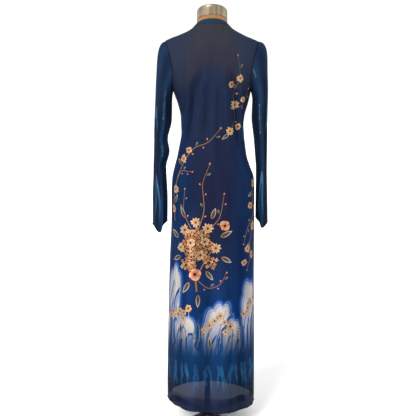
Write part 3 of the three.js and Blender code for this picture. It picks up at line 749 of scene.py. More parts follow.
def leaf(x, z, length, width, turn, colours=(GOLD, TEAL)):
    """A leaf with a pale rim, a darker blade in it, and a midrib with side veins."""
    rim, blade = colours
    tip = placed([[length, 0]], x, z, turn)[0]
    paint(placed(petal_outline(length, width, 0.8, points=9), x, z, turn), rim, CREAM, (x, z), tip)
    inner = petal_outline(length, width, 0.8, points=9) * [0.84, 0.62] + [length * 0.07, 0]
    paint(placed(inner, x, z, turn), INK, blade, (x, z), tip)
    paint(placed([[0, -0.5], [length * 0.9, 0], [0, 0.5]], x, z, turn), rim)
    for k in range(1, 5):
        at = length * (0.12 + 0.15 * k)
        for side in (-1, 1):
            vein = [[at, 0], [at + length * 0.13, side * width * 0.2], [at + 1.0, 0]]
            paint(placed(vein, x, z, turn), rim)


def spray(points, wide, thin, every, size, colour, seed):
    """A curved stem that carries berries on short stalks to either side, and a few small leaves."""
    line, ways = stroke(points, wide, thin, colour)
    rng = np.random.default_rng(seed)
    for n, i in enumerate(range(every, len(line) - 1, every)):
        side = 1 if n % 2 else -1
        way = ways[i] + side * rng.uniform(38, 62)
        stalk = placed([[rng.uniform(5, 9), 0]], *line[i], way)[0]
        paint(np.array([line[i] + [0.4, 0], stalk, line[i] - [0.4, 0]]), colour)
        if n % 3 == 1:
            leaf(*stalk, size * 2.6, size * 1.2, way - side * 12, OLIVE_LEAF)
        else:
            berry(*stalk, size * rng.uniform(0.85, 1.1), way)
    berry(*line[-1], size, ways[-1])


def fern(points, size, colour, far):
    """A frond: a thin rib with a row of narrow leaflets on each side, shorter towards the tip."""
    line, ways = stroke(points, 1.8, 0.6, colour)
    for i in range(2, len(line) - 1):
        length = size * (1 - 0.75 * i / len(line))
        for side in (-1, 1):
            way = ways[i] + side * 52
            shape = placed(petal_outline(length, length * 0.3, 0.9, points=5), *line[i], way)
            paint(shape, colour, far, line[i], shape[3])


def blade(points, wide, colours):
    """A long grass blade, pale along one edge."""
    dark, pale = colours
    line, _ = stroke(points, wide, 0.8, dark, pale, STEMS_SINK)
    stroke(line[::3] + [wide * 0.3, 0], wide * 0.28, 0.4, dark, SAND, STEMS_SINK)


def mound(x, z, wide, high, bumps, lean, foot):
    """The outline of an uneven mound: bumps over its crown, and sides that waver down to its foot."""
    t = np.linspace(0, math.pi, 12 * bumps + 1)
    swell = 1 + 0.15 * np.abs(np.sin(bumps * t + 0.9 * lean)) ** 0.7 + 0.10 * np.sin(2 * t + lean)
    crown = np.stack([x + wide / 2 * np.cos(t) * swell, z + high * np.sin(t) ** 0.7 * swell], -1)
    crown[:, 0] += lean * 0.12 * (crown[:, 1] - z)
    down = np.linspace(z, foot, 13)[1:]
    waver = wide * 0.09 * (np.sin(down * 0.05 + lean) + 0.6 * np.sin(down * 0.11 + 2 * lean))
    right = np.stack([crown[0, 0] + waver - waver[0], down], -1)
    left = np.stack([crown[-1, 0] - 0.7 * (waver - waver[0]), down], -1)
    return np.concatenate([left[::-1], crown[::-1], right])


def hill(x, top, wide, high, bumps, foot, lean):
    """A pale rounded mound in a royal blue halo, with a few uneven cracks and hollows."""
    for n, (aside, sunk, across, up, low, upper) in enumerate(HILL_LAYERS):
        tilt = lean + 0.35 * n * (n > 4)
        outline = mound(x + aside * wide, top - high + sunk, wide * across, high * up, bumps, tilt, foot)
        paint(outline, low, upper, (x, foot), (x, top), HILLS_SINK)


def reed(x, foot, length, wide, lean, fork=0.0):
    """A wavering ragged streak of paler blue, narrow at both ends, with a side shoot where it forks."""
    t = np.linspace(0, 1, 25)
    middle = x + lean * t + 5.0 * np.sin(6.5 * t + x) * t + 1.3 * np.sin(19 * t + 2 * x)
    taper = np.sin(math.pi * np.clip(t, 0.02, 0.98)) ** 0.7
    right = wide / 2 * taper * (1 + 0.4 * np.sin(23 * t + x))
    left = wide / 2 * taper * (1 + 0.45 * np.sin(17 * t + 2 * x))
    z = foot + length * t
    edge = np.concatenate([np.stack([middle + right, z], -1), np.stack([middle - left, z], -1)[::-1]])
    paint(edge, REED, BLADE_DARK, (x, foot), (x, foot + length), REEDS_SINK)
    if fork:
        i = 11
        side = [(middle[i], z[i]), (middle[i] + fork * 0.6, z[i] - 24), (middle[i] + fork, z[i] - 62)]
        stroke(side, wide * 0.8, 1.2, BLADE_DARK, REED, REEDS_SINK)


def paint_hem():
    """Reeds that stand in the deep blue above the hem, all round."""
    rng = np.random.default_rng(11)
    for x in np.arange(-520, 521, 25):
        reed(x + rng.uniform(-7, 7), rng.uniform(150, 215), rng.uniform(110, 185), rng.uniform(7, 15),
             rng.uniform(-18, 18), rng.choice([0, 17, -17]))


def paint_each(draw, rows, *more):
    """Paints one shape for each row of a table."""
    for row in rows:
        draw(*row, *more)


def paint_meadow():
    """Long blades, small flowers in twos and threes, and ferns in front of the hills, all round."""
    rng = np.random.default_rng(5)
    for x in np.arange(-500, 501, 52):
        start = x + rng.uniform(-9, 9)
        lean = rng.uniform(-60, 60)
        foot = rng.uniform(285, 330)
        line = [(start, foot), (start + lean * 0.25, foot + 75), (start + lean, foot + rng.uniform(140, 190))]
        blade(line, rng.uniform(7, 10), (BLADE_DARK, BLADE_PALE))
    for n, x in enumerate(np.arange(-500, 501, 41)):
        z = rng.uniform(395, 540)
        stem = [(x + rng.uniform(-8, 8), z - rng.uniform(90, 130)), (x + 3, z - 45), (x, z)]
        stroke(stem, 2.4, 1.4, SAND, CREAM, STEMS_SINK)
        if n % 4 == 3:
            fern([(x - 12, z - 80), (x - 6, z - 20), (x + 8, z + 45)], 19, FERN_BLUE, TEAL)
            continue
        for dx, dz, size in [(0, 0, 15), (-21, -19, 13), (17, -26, 12)][: 2 + n % 2]:
            [daisy, cosmos, cosmos][n % 3](x + dx, z + dz, size * rng.uniform(0.9, 1.1), rng.uniform(0, 60))
        if n % 3 == 0:
            leaf(x + 4, z - 88, 44, 13, rng.uniform(60, 115), OLIVE_LEAF)


def paint_bouquet():
    """The dense flowers over the left thigh, with stems that rise from it."""
    stroke([(-58, 560), (-66, 660), (-52, 760)], 6.5, 4, GOLD, SAND)
    stroke([(-60, 610), (-22, 690), (14, 742)], 4.5, 2.5, GOLD, SAND)
    stroke([(-64, 640), (-104, 700), (-136, 738)], 4.5, 2.5, GOLD, SAND)
    spray([(-54, 800), (-34, 880), (-40, 960), (-12, 1035)], 3.4, 1.2, 3, 6.4, SAND, 3)
    spray([(-84, 800), (-118, 868), (-112, 940)], 3.2, 1.2, 3, 6.2, SAND, 4)
    spray([(-20, 790), (26, 850), (40, 925)], 3.2, 1.2, 3, 6.0, SAND, 6)
    spray([(-52, 600), (-10, 575), (30, 590), (52, 628)], 3, 1.2, 3, 6.0, GOLD, 8)
    paint_each(leaf, [
        (-140, 760, 52, 20, 150), (-128, 690, 46, 18, 205), (28, 770, 50, 19, 25),
        (34, 694, 46, 18, -30), (-86, 594, 54, 20, 236), (-24, 640, 44, 17, -50),
        (-6, 838, 44, 17, 70), (-110, 838, 46, 17, 118), (-52, 548, 50, 17, 268),
    ])
    florets(-62, 742, 116, 120, 1)
    florets(-96, 664, 62, 56, 2)
    florets(-8, 676, 56, 50, 9)
    paint_each(daisy, [
        (-112, 792, 23, 10), (-20, 802, 22, 40), (-66, 824, 20, 5), (-128, 724, 19, 30), (12, 728, 21, 0),
    ])
    paint_each(cosmos, [(-46, 700, 20, 12), (-84, 746, 19, 33), (-30, 752, 18, 20)])
    for k in range(11):
        way = 33.0 * k + 11
        spot = placed([[50 + 13 * math.sin(2.1 * k), 0]], -62, 738, way)[0]
        berry(*spot, 6.6, way + 25 * math.sin(1.7 * k))
    poppy(-66, 626, 25, 20)
    poppy(44, 812, 21, 50)


def paint_climber():
    """The stem that climbs from the left hip over the waist to the right shoulder blade."""
    stroke([(-168, 820), (-176, 900), (-150, 985), (-112, 1050)], 3.6, 2.4, SAND)
    spray([(-112, 1050), (-66, 1100), (-20, 1118), (26, 1166)], 2.6, 1.3, 3, 6.0, SAND, 21)
    spray([(62, 1150), (88, 1210), (78, 1290), (104, 1360), (96, 1428)], 2.8, 1.1, 4, 6.2, STEM, 22)
    spray([(-150, 985), (-122, 1014), (-84, 1012)], 2.2, 1.1, 3, 5.6, SAND, 23)
    spray([(84, 1240), (124, 1262), (146, 1310)], 2.2, 1.1, 3, 5.6, STEM, 24)
    paint_each(leaf, [
        (62, 1150, 34, 13, 215), (92, 1318, 30, 12, 150), (-168, 890, 38, 14, 60), (-126, 1036, 32, 12, 140),
    ], OLIVE_LEAF)
    paint_each(daisy, [
        (66, 1160, 17, 0), (84, 1256, 18, 20), (104, 1352, 15, 10), (-160, 942, 18, 15), (-116, 1058, 17, 30),
    ])
    paint_each(cosmos, [
        (104, 1176, 14, 0), (118, 1276, 13, 20), (72, 1330, 13, 5), (-176, 866, 16, 10), (-92, 1090, 14, 40),
    ])


def paint_right_hip():
    """A spray that hangs over the right hip."""
    stroke([(196, 1010), (178, 930), (186, 840), (162, 742)], 3.4, 2.2, GOLD, SAND)
    spray([(186, 840), (146, 800), (128, 742)], 2.6, 1.2, 3, 6.0, SAND, 31)
    spray([(162, 742), (168, 690), (150, 640)], 2.4, 1.2, 3, 6.0, SAND, 32)
    paint_each(leaf, [(182, 930, 40, 15, 200), (184, 846, 40, 15, -20), (160, 742, 42, 15, 240)], OLIVE_LEAF)
    paint_each(daisy, [(186, 962, 18, 8), (182, 800, 20, 22), (148, 716, 17, 10)])
    paint_each(cosmos, [(160, 880, 16, 8), (204, 866, 15, 22), (176, 690, 15, 30), (132, 664, 14, 0)])


def paint_fronts():
    """Like sprays and flowers on both fronts."""
    for side in (-1, 1):
        x = 318 * side
        stroke([(x, 610), (x + 14, 720), (x - 10, 840), (x + 22 * side, 960)], 4.6, 2.2, GOLD, SAND)
        spray([(x, 760), (x + 46, 830), (x + 42, 910)], 2.8, 1.2, 3, 6.0, SAND, 41 + side)
        spray([(x, 800), (x - 46, 872), (x - 40, 956)], 2.8, 1.2, 3, 6.0, SAND, 44 + side)
        spray([(x + 22 * side, 960), (x, 1060), (x - 34 * side, 1130)], 2.6, 1.1, 3, 6.0, SAND, 47 + side)
        paint_each(leaf, [
            (x + 8, 700, 48, 18, 20), (x - 6, 720, 48, 18, 165),
            (x, 640, 46, 17, -35), (x + 4, 880, 40, 15, 60),
        ])
        florets(x + 4, 700, 96, 90, 50 + side)
        paint_each(daisy, [
            (x - 40, 742, 21, 0), (x + 40, 738, 20, 25), (x + 6, 770, 22, 12), (x + 16 * side, 940, 17, 9),
        ])
        paint_each(cosmos, [(x - 26, 668, 18, 0), (x + 34, 672, 18, 25), (x - 30 * side, 1040, 15, 12)])
        poppy(x, 640, 23, 15)
    paint_each(daisy, [(-452, 880, 19, 0), (468, 800, 19, 20), (-232, 720, 17, 8), (236, 1080, 15, 8)])
    for x in (-470, 470):
        spray([(x, 620), (x - 20, 700), (x + 8, 780)], 3, 1.2, 3, 6.2, SAND, 70)


def ground(across, z):
    """The cloth's own colour at each place."""
    rise = LINEN_EDGE_RISE * (1 - smooth(*LINEN_EDGE_WIDE, np.abs(across)))
    z = z - rise * smooth(1200, 1300, z) * (1 - smooth(1440, 1500, z))
    side = smooth(*GROUND_SIDE_AT, np.abs(across))
    rows = [GROUND_CENTRE[key](z) * (1 - side) + GROUND_SIDE[key](z) * side for key in "rgb"]
    streak = 1 + 0.10 * np.sin(across * 0.083 + 0.6 * np.sin(z * 0.011)) * (1 - smooth(700, 1100, z))
    return linear(np.stack(rows, -1)) * streak[..., None]


# Panels: their outlines on the pattern, and the sheets made from them
def rows_between(low, high, step):
    return np.linspace(low, high, max(2, int(round((high - low) / step)) + 1))


def panel_rows(armhole):
    """Heights from the hem to the neck's seam, and how far in from the side each row starts."""
    z = np.concatenate([rows_between(HEM_Z, UNDERARM_Z, GRID), rows_between(UNDERARM_Z, SHOULDER_Z, 3)[1:],
                        rows_between(SHOULDER_Z, NECK_SEAM_Z, 1.5)[1:]])
    beside_sleeve = (z > UNDERARM_Z) & (z < SHOULDER_Z)
    return z, np.where(beside_sleeve, angle_from_side(ARMHOLE[armhole](z), z), 0)


def back_outline():
    z, inset = panel_rows("back")
    top = pattern_line(np.linspace(0, 180, 46)[1:-1], NECK_SEAM_Z)
    hem = pattern_line(np.linspace(180, 0, 100)[1:-1], HEM_Z)
    return np.concatenate([pattern_line(inset, z), top, pattern_line(180 - inset, z)[::-1], hem])


def front_turn(front, alpha):
    """The body's angle of one that is counted forwards from a front's own side seam."""
    return 180 + alpha if front == "over" else -alpha


def front_outline(front):
    """Outline from the side seam and armhole to the band's seam, up to where the two meet."""
    z, side = panel_rows("front")
    edge = front_edge(z, front, BAND)
    keep = edge > side + 0.6
    z, side, edge = z[keep], side[keep], edge[keep]
    hem = pattern_line(front_turn(front, np.linspace(side[0], edge[0], 60)[1:-1]), HEM_Z)
    free = pattern_line(front_turn(front, edge), z)
    return np.concatenate([pattern_line(front_turn(front, side), z), free[::-1], hem[::-1]])


def grid_points(outline):
    """Staggered points inside an outline that has one left and one right edge at each height."""
    low, high = outline[:, 1].min(), outline[:, 1].max()
    heights = np.concatenate([
        np.arange(low + GRID_EDGE, YOKE_Z, GRID), np.arange(YOKE_Z, 1485, 3), np.arange(1486, high - 1, 1.6),
    ])
    points = []
    for n, z in enumerate(heights):
        nxt = np.roll(outline, -1, axis=0)
        crosses = (outline[:, 1] - z) * (nxt[:, 1] - z) < 0
        a, b = outline[crosses], nxt[crosses]
        cut = a[:, 0] + (b[:, 0] - a[:, 0]) * (z - a[:, 1]) / (b[:, 1] - a[:, 1])
        if len(cut) < 2 or cut.max() - cut.min() < 3 * GRID_EDGE:
            continue
        shift = GRID / 2 * (n % 2)
        row = np.arange(cut.min() + GRID_EDGE + shift, cut.max() - GRID_EDGE, GRID)
        points.append(np.stack([row, np.full(len(row), z)], -1))
    return np.concatenate(points)


def mesh_object(name, places, faces, *materials):
    """A smooth mesh from places in millimetres."""
    mesh = bpy.data.meshes.new(name)
    mesh.from_pydata((np.asarray(places) * MM).tolist(), [], faces)
    mesh.validate()
    mesh.update()
    mesh.shade_smooth()
    for material in materials:
        mesh.materials.append(material)
    obj = bpy.data.objects.new(name, mesh)
    bpy.context.scene.collection.objects.link(obj)
    return obj


def add_uv(obj, name, corners):
    layer = obj.data.uv_layers.new(name=name)
    layer.data.foreach_set("uv", np.asarray(corners, np.float32).ravel())


def corner_vertices(obj):
    index = np.zeros(len(obj.data.loops), np.int32)
    obj.data.loops.foreach_get("vertex_index", index)
    return index


def dress_uvs(obj, flat):
    """One map in millimetres for the weave, and one that fills the square."""
    corners = flat[corner_vertices(obj)]
    low, high = flat.min(0), flat.max(0)
    add_uv(obj, "OFBake", 0.004 + 0.992 * (corners - low) / (high - low))
    add_uv(obj, "cloth", corners)


def paint_corners(obj, colours):
    layer = obj.data.color_attributes.new("print", "FLOAT_COLOR", "CORNER")
    full = np.concatenate([colours, np.ones((len(colours), 1))], -1)
    layer.data.foreach_set("color", full.astype(np.float32).ravel())


def cloth_panel(name, outline, *materials):
    """A sheet on the body with the print's shapes cut into its faces."""
    outline = anticlockwise(outline)
    shapes = [s for s in PRINT if touches(s[0], outline)]
    loops = [outline] + [s[0] for s in shapes]
    loose = grid_points(outline)
    points = np.concatenate([loose] + loops)
    starts = np.cumsum([len(loose)] + [len(loop) for loop in loops])
    sides = [list(range(a, b)) for a, b in zip(starts[:-1], starts[1:])]
    made = delaunay_2d_cdt([Vector(p) for p in points.tolist()], [], sides, 1, 1e-4, True)
    flat = np.array([tuple(v) for v in made[0]])
    kept = [(face, max(owners)) for face, owners in zip(made[2], made[5]) if 0 in owners]
    faces = [face for face, _ in kept]
    owner = np.array([shape for _, shape in kept])
    used = np.unique(np.concatenate([np.array(face) for face in faces]))
    index = np.full(len(flat), -1)
    index[used] = np.arange(len(used))
    faces = [[int(index[v]) for v in face] for face in faces]
    flat = flat[used]
    obj = mesh_object(name, body_cloth(angle_at(*flat.T), flat[:, 1]), faces, *materials)
    set_normals(obj, flat)
    dress_uvs(obj, flat)
    paint_corners(obj, corner_colours(obj, flat, owner, shapes))
    low = np.array([flat[face, 1].mean() < SHEER_Z for face in faces])
    obj.data.polygons.foreach_set("material_index", low.astype(np.int32))
    return obj


def anticlockwise(outline):
    x, z = outline.T
    return outline if np.sum(x * np.roll(z, -1) - np.roll(x, -1) * z) > 0 else outline[::-1]


def touches(shape, outline):
    apart = (shape.max(0) < outline.min(0)) | (shape.min(0) > outline.max(0))
    return not apart.any()


def set_normals(obj, flat):
    """Normals of the smooth surface, so that the print's cuts don't show in the shading."""
    step = 0.7
    x, z = flat.T
    low = np.maximum(z - step, HEM_Z)
    high = np.minimum(z + step, NECK_TOP_Z)
    side = body_cloth(angle_at(x + step, z), z) - body_cloth(angle_at(x - step, z), z)
    up = body_cloth(angle_at(x, high), high) - body_cloth(angle_at(x, low), low)
    obj.data.normals_split_custom_set_from_vertices(unit(np.cross(side, up)).tolist())


def corner_colours(obj, flat, owner, shapes):
    """Colours of the face corners: the ground, or the uppermost shape, which sinks into it near the hem,
    under painted fold shade.
    """
    vertex = corner_vertices(obj)
    face = np.repeat(np.arange(len(owner)), 3)
    x, z = flat[vertex].T
    colours = ground(x, z)
    shape = owner[face] - 1
    near, far, start, end, sinks = (np.array([s[k] for s in shapes], float) for k in (1, 2, 3, 4, 5))
    along = end - start
    share = np.sum((flat[vertex] - start[shape]) * along[shape], -1) / np.sum(along**2, -1)[shape]
    share = np.clip(share, 0, 1)[:, None]
    painted = near[shape] * (1 - share) + far[shape] * share
    low, high = sinks[shape].T
    shown = smooth(0, 1, (z - low) / (high - low)) * (1 - PRINT_FADES[2] * smooth(*PRINT_FADES[:2], z))
    over = ((shape >= 0) * shown)[:, None]
    angle = angle_at(*flat.T)
    radius = np.hypot(*plain_body(angle, flat[:, 1])[:, :2].T)
    # Painted shade in the troughs of folds and creases, painted light on their ridges
    shade = fold_shade(BODY_FOLDS, BODY_CREASES, angle, flat[:, 1], radius)
    return (colours * (1 - over) + painted * over) * shade[vertex, None] * DYE


# Sleeves
def armhole_loop(columns):
    """Places round the left armhole at even steps: 180 is the underarm, 90 behind, 0 the shoulder."""
    z = rows_between(UNDERARM_Z, SHOULDER_Z, 1.5)
    angles = np.arange(columns) * 360 / columns
    place = np.zeros((columns, 3))
    out = np.zeros((columns, 3))
    for half, sign, mine, up in (
        ("back", 1, angles <= 180, 1 - angles / 180),
        ("front", -1, angles > 180, (angles - 180) / 180),
    ):
        angle = sign * angle_from_side(ARMHOLE[half](z), z)
        line = body_cloth(angle, z)
        run = run_of(line)
        place[mine] = at_runs(up[mine] * run[-1], run, line)
        out[mine] = at_runs(up[mine] * run[-1], run, body_normal(angle, z))
    out = unit(out)
    along = np.roll(place, 1, axis=0) - np.roll(place, -1, axis=0)
    return angles, place, out, unit(np.cross(out, along))


def near_angle(angle, place):
    off = (angle - place[0] + 540) % 360 - 180
    return np.exp(-((off / place[1]) ** 2))


def cuff_height(angle, side):
    z, corner, inner = CUFFS[side]
    slant, step, share = CUFF_CORNER
    corner = corner * smooth(*slant, angle) * (1 - share * smooth(*step, angle))
    return z + corner + inner * near_angle(angle, CUFF_INNER)


def sleeve_point(angle, z, side):
    rows = SLEEVES[side]
    half, deep = rows["half"](z), rows["deep"](z)
    fold = fold_height(SLEEVE_FOLDS[side], angle, z, (half + deep) / 2)
    fold = fold + fold_height(SLEEVE_CREASES[side], angle, z, (half + deep) / 2) - CLOTH / 2
    a = np.radians(angle)
    x = rows["middle"](z) + (half + fold) * np.cos(a)
    return np.stack([x, rows["y"](z) + (deep + fold) * np.sin(a), z + 0 * x], -1)


def sleeve_grid(side):
    """Rows of places from the armhole to the cuff, mirrored for the right sleeve."""
    angles, place, out, _ = armhole_loop(SLEEVE_COLUMNS)
    top = sleeve_point(angles, np.full(SLEEVE_COLUMNS, float(SLEEVE_TOP_Z)), side)
    below = sleeve_point(angles, np.full(SLEEVE_COLUMNS, SLEEVE_TOP_Z - 10.0), side)
    down = unit(below - top)
    up = np.clip((place[:, 2:] - UNDERARM_Z) / (SHOULDER_Z - UNDERARM_Z), 0, 1)
    leave = out * 0.9 * (1 - up)
    leave[:, 0] += up[:, 0]
    leave[:, 2] -= 0.6 - 0.25 * up[:, 0]
    leave = unit(leave)
    span = np.linalg.norm(top - place, axis=1, keepdims=True)
    sideways = np.array([1.0, 0, 0])
    eased = 0.35 + 0.15 * up
    head = []
    for t in np.linspace(0, 1, 84)[:-1] ** 1.5:
        turned = 1 - np.exp(-t / CORNER_TURN)
        corner = SHOULDER_CORNER[side] * up**3 * turned * (1 - smooth(*CORNER_FADE, t))
        head.append(place * (2 * t**3 - 3 * t**2 + 1) + leave * (t**3 - 2 * t**2 + t) * span * eased
                    + top * (3 * t**2 - 2 * t**3) + down * (t**3 - t**2) * span + corner * sideways)
    cuff = cuff_height(angles, side)
    steps = np.linspace(0, 1, 190)
    tube = [sleeve_point(angles, SLEEVE_TOP_Z + (cuff - SLEEVE_TOP_Z) * t, side) for t in steps]
    grid = np.array(head + tube)
    if side == "right":
        grid[..., 0] *= -1
    return angles, grid


def ring_faces(rows, columns, flip=False):
    """Quads between rings of places."""
    r, c = np.meshgrid(np.arange(rows - 1), np.arange(columns), indexing="ij")
    nxt = (c + 1) % columns
    quads = np.stack([r * columns + c, r * columns + nxt, (r + 1) * columns + nxt, (r + 1) * columns + c], -1)
    quads = quads.reshape(-1, 4)
    return (quads[:, ::-1] if flip else quads).tolist()


def ringed(name, rings, material, turned_cap=None):
    """A skin over rings of places. With caps, the first or the last one is turned round to face out."""
    rows, sides = rings.shape[:2]
    faces = ring_faces(rows, sides)
    if turned_cap is not None:
        caps = [list(range(sides)), list(range((rows - 1) * sides, rows * sides))]
        caps[turned_cap].reverse()
        faces += caps
    return mesh_object(name, rings.reshape(-1, 3), faces, material)


def sleeve_colours(width, z, side):
    """Painted sheen streaks of teal with painted shade between, a painted lighter inner side, two pale blue
    peaks and rows of fine pale dashes.
    """
    head = smooth(1190, 1330, z)[..., None]
    base = linear(SLEEVE_DARK) * (1 - head) + linear(SLEEVE_HEAD) * head
    turn = 0.4 if side == "left" else 1.9
    # Painted sheen: lengthwise teal highlight streaks
    sheen_streaks = np.sin(width * 0.145 + turn + 0.5 * np.sin(z * 0.013)) * 0.5 + 0.5
    weight = 0.22 - 0.08 * smooth(1220, 1380, z)
    base = base + (linear(SHEEN_STREAK_BLUE) - base) * (weight * sheen_streaks**3)[..., None]
    # Darker lengthwise bands: painted shade between the sheen streaks
    dark = np.sin(width * 0.093 + 2.2 + turn) * 0.5 + 0.5
    # Painted light: the inner side is painted lighter where the key light leaves it in shade
    inside = SLEEVE_INSIDE_PAINTED_LIGHT[side] * smooth(-5, 30, width) * (1 - smooth(1130, 1250, z))
    base = base * (1 - 0.3 * dark**4 + inside)[..., None]
    for peak, high, centre in SLEEVE_PEAKS[side]:
        fall = peak - z
        spread = np.interp(fall, [0, 30, high], [1.0, 6.0, 17.0])
        off = np.abs(width - centre - 4 * np.sin(z * 0.03))
        core = 0.6 * np.exp(-((off / (spread * 0.5 + 1)) ** 2)) * (fall < 40)
        rim = np.exp(-(((off - spread) / 3.2) ** 2)) + core
        on = (fall > -6) * (1 - smooth(high * 0.5, high, fall))
        base = base + (linear(PEAK_BLUE) - base) * (np.clip(rim, 0, 1) * on * 0.85)[..., None]
    dash = (np.abs(width - 6 - 3 * np.sin(z * 0.02)) < 1.5) & (np.sin(z * 0.9) > 0.35)
    dash = dash & (z > 1060) & (z < 1420) & (np.sin(z * 0.031 + turn) > -0.1)
    return np.where(dash[..., None], linear(DASH_BLUE), base) * DYE


def sleeve_sheet(side, material):
    angles, grid = sleeve_grid(side)
    rows, columns = grid.shape[:2]
    faces = ring_faces(rows, columns, side == "left")
    obj = mesh_object(f"cloth_sleeve_{side}", grid.reshape(-1, 3), faces, material)
    unrolled = np.radians(angles - 90) * SLEEVE_RADIUS
    z = grid[..., 2]
    colours = sleeve_colours(np.broadcast_to(unrolled, z.shape), z, side)
    # Painted shade in the troughs of the sleeve's folds and creases, painted light on their ridges
    shade = fold_shade(SLEEVE_FOLDS[side], SLEEVE_CREASES[side], angles, z, SLEEVE_RADIUS)
    colours = (colours * shade[..., None]).reshape(-1, 3)
    vertex = corner_vertices(obj)
    paint_corners(obj, colours[vertex])
    row, column = vertex // columns, vertex % columns
    wrapped = column.reshape(-1, 4)
    wrapped = np.where((wrapped == 0) & (wrapped.max(1) == columns - 1)[:, None], columns, wrapped).ravel()
    share = np.stack([wrapped / columns, 1 - row / (rows - 1)], -1)
    add_uv(obj, "OFBake", 0.004 + 0.992 * share)
    add_uv(obj, "cloth", share * [2 * math.pi * SLEEVE_RADIUS, SLEEVE_LENGTH])
    return obj, grid


# Trim: bands, rolled hems, seams and stitches
def rolled_strip(name, line, out, across, size, material, sides=10, closed=False):
    """A strip of rounded section along a line: size is its width and how far it stands out."""
    turns = np.linspace(0, 2 * math.pi, sides, endpoint=False)
    wide, proud = size
    rings = (line[:, None] + across[:, None] * (np.cos(turns) * wide / 2)[None, :, None]
             + out[:, None] * (np.sin(turns) * proud / 2)[None, :, None])
    return ringed(name, looped(rings) if closed else rings, material, None if closed else 1)


def joined(name, objects):
    """One object from several, in their order."""
    with bpy.context.temp_override(active_object=objects[0], selected_editable_objects=objects):
        bpy.ops.object.join()
    objects[0].name = name
    objects[0].data.name = name
    return objects[0]


def looped(rows):
    """Rows that end where they start."""
    return np.concatenate([rows, rows[:1]])


def run_of(line):
    """How far each point of a line lies from its start."""
    return np.concatenate([[0], np.cumsum(np.linalg.norm(np.diff(line, axis=0), axis=1))])


def at_runs(at, run, values):
    """Values given along a line, read at other places on it."""
    return np.stack([np.interp(at, run, column) for column in values.T], -1)


def stitches(name, line, out, spacing, material):
    """A row of short raised stitches along a line."""
    run = run_of(line)
    at = np.arange(spacing / 2, run[-1], spacing)
    middle = at_runs(at, run, line)
    along = unit(at_runs(at + 0.5, run, line) - middle + 1e-9)
    normal = unit(at_runs(at, run, out))
    side = np.cross(along, normal)
    long, wide, proud = (size / 2 for size in STITCH)
    corners = [along * long, side * wide, normal * proud, -side * wide, -normal * proud, -along * long]
    places = np.stack([middle + corner for corner in corners], 1).reshape(-1, 3)
    faces = []
    for start in range(0, 6 * len(middle), 6):
        for a, b in ((1, 2), (2, 3), (3, 4), (4, 1)):
            faces += [[start, start + a, start + b], [start + 5, start + b, start + a]]
    return mesh_object(name, places, faces, material)


def body_line(angles, z, out=0.0):
    """A line on the body's cloth with the way out of it and the way across the line."""
    angles, z = np.broadcast_arrays(np.asarray(angles, float), np.asarray(z, float))
    line = body_cloth(angles, z, out)
    normal = body_normal(angles, z)
    along = unit(np.gradient(line, axis=0))
    return line, normal, unit(np.cross(normal, along))


def band_strip(name, inner, outer, out, material):
    """A folded band between two lines: flat, with a soft roll at its fold and a thin step at its seam."""
    rings = [inner * (1 - across) + outer * across + out * proud for across, proud in BAND_PROFILE]
    return ringed(name, np.stack(rings, 1), material, 1)


# Materials
def material_of(name):
    material = bpy.data.materials.new(name)
    material.use_nodes = True
    tree = material.node_tree
    return material, tree, tree.nodes["Principled BSDF"]


def feed(tree, made, inputs):
    """Gives a node's inputs their values, or links them to the outputs that feed them."""
    for key, value in inputs.items():
        if isinstance(value, bpy.types.NodeSocket):
            tree.links.new(value, made.inputs[key])
        else:
            made.inputs[key].default_value = value


def node(tree, kind, inputs=None, **settings):
    made = tree.nodes.new("ShaderNode" + kind)
    for key, value in settings.items():
        setattr(made, key, value)
    feed(tree, made, inputs or {})
    return made


def maths(tree, operation, first, second):
    return node(tree, "Math", {0: first, 1: second}, operation=operation).outputs[0]


def mapped(tree, place, **change):
    """Places that are scaled or turned."""
    return node(tree, "Mapping", {"Vector": place, **change}).outputs[0]


def noise(tree, place, scale, detail, roughness=0.5):
    inputs = {"Vector": place, "Scale": scale, "Detail": detail, "Roughness": roughness}
    return node(tree, "TexNoise", inputs).outputs["Fac"]


def waves(tree, place, scale, distortion, detail, direction="X"):
    inputs = {"Vector": place, "Scale": scale, "Distortion": distortion, "Detail": detail}
    return node(tree, "TexWave", inputs, bands_direction=direction).outputs["Fac"]


def bump(tree, height, strength, distance):
    inputs = {"Height": height, "Strength": strength, "Distance": distance}
    return node(tree, "Bump", inputs).outputs[0]


def spread(tree, factor, low, high):
    """A factor from 0 to 1, spread between two values."""
    return node(tree, "MapRange", {"Value": factor, "To Min": low, "To Max": high}).outputs[0]


def varied(tree, colour, factor, low, high):
    """A colour scaled by a factor that is spread between two values."""
    inputs = {0: colour, "Scale": spread(tree, factor, low, high)}
    return node(tree, "VectorMath", inputs, operation="SCALE").outputs[0]


def ramp(tree, factor, stops):
    """Colours that blend between stops. Each stop has its place from 0 to 1 and its colour."""
    made = node(tree, "ValToRGB", {0: factor})
    elements = made.color_ramp.elements
    for n, (place, colour) in enumerate(stops):
        stop = elements[n] if n < 2 else elements.new(place)
        stop.position = place
        stop.color = (*colour, 1)
    return made.outputs[0]


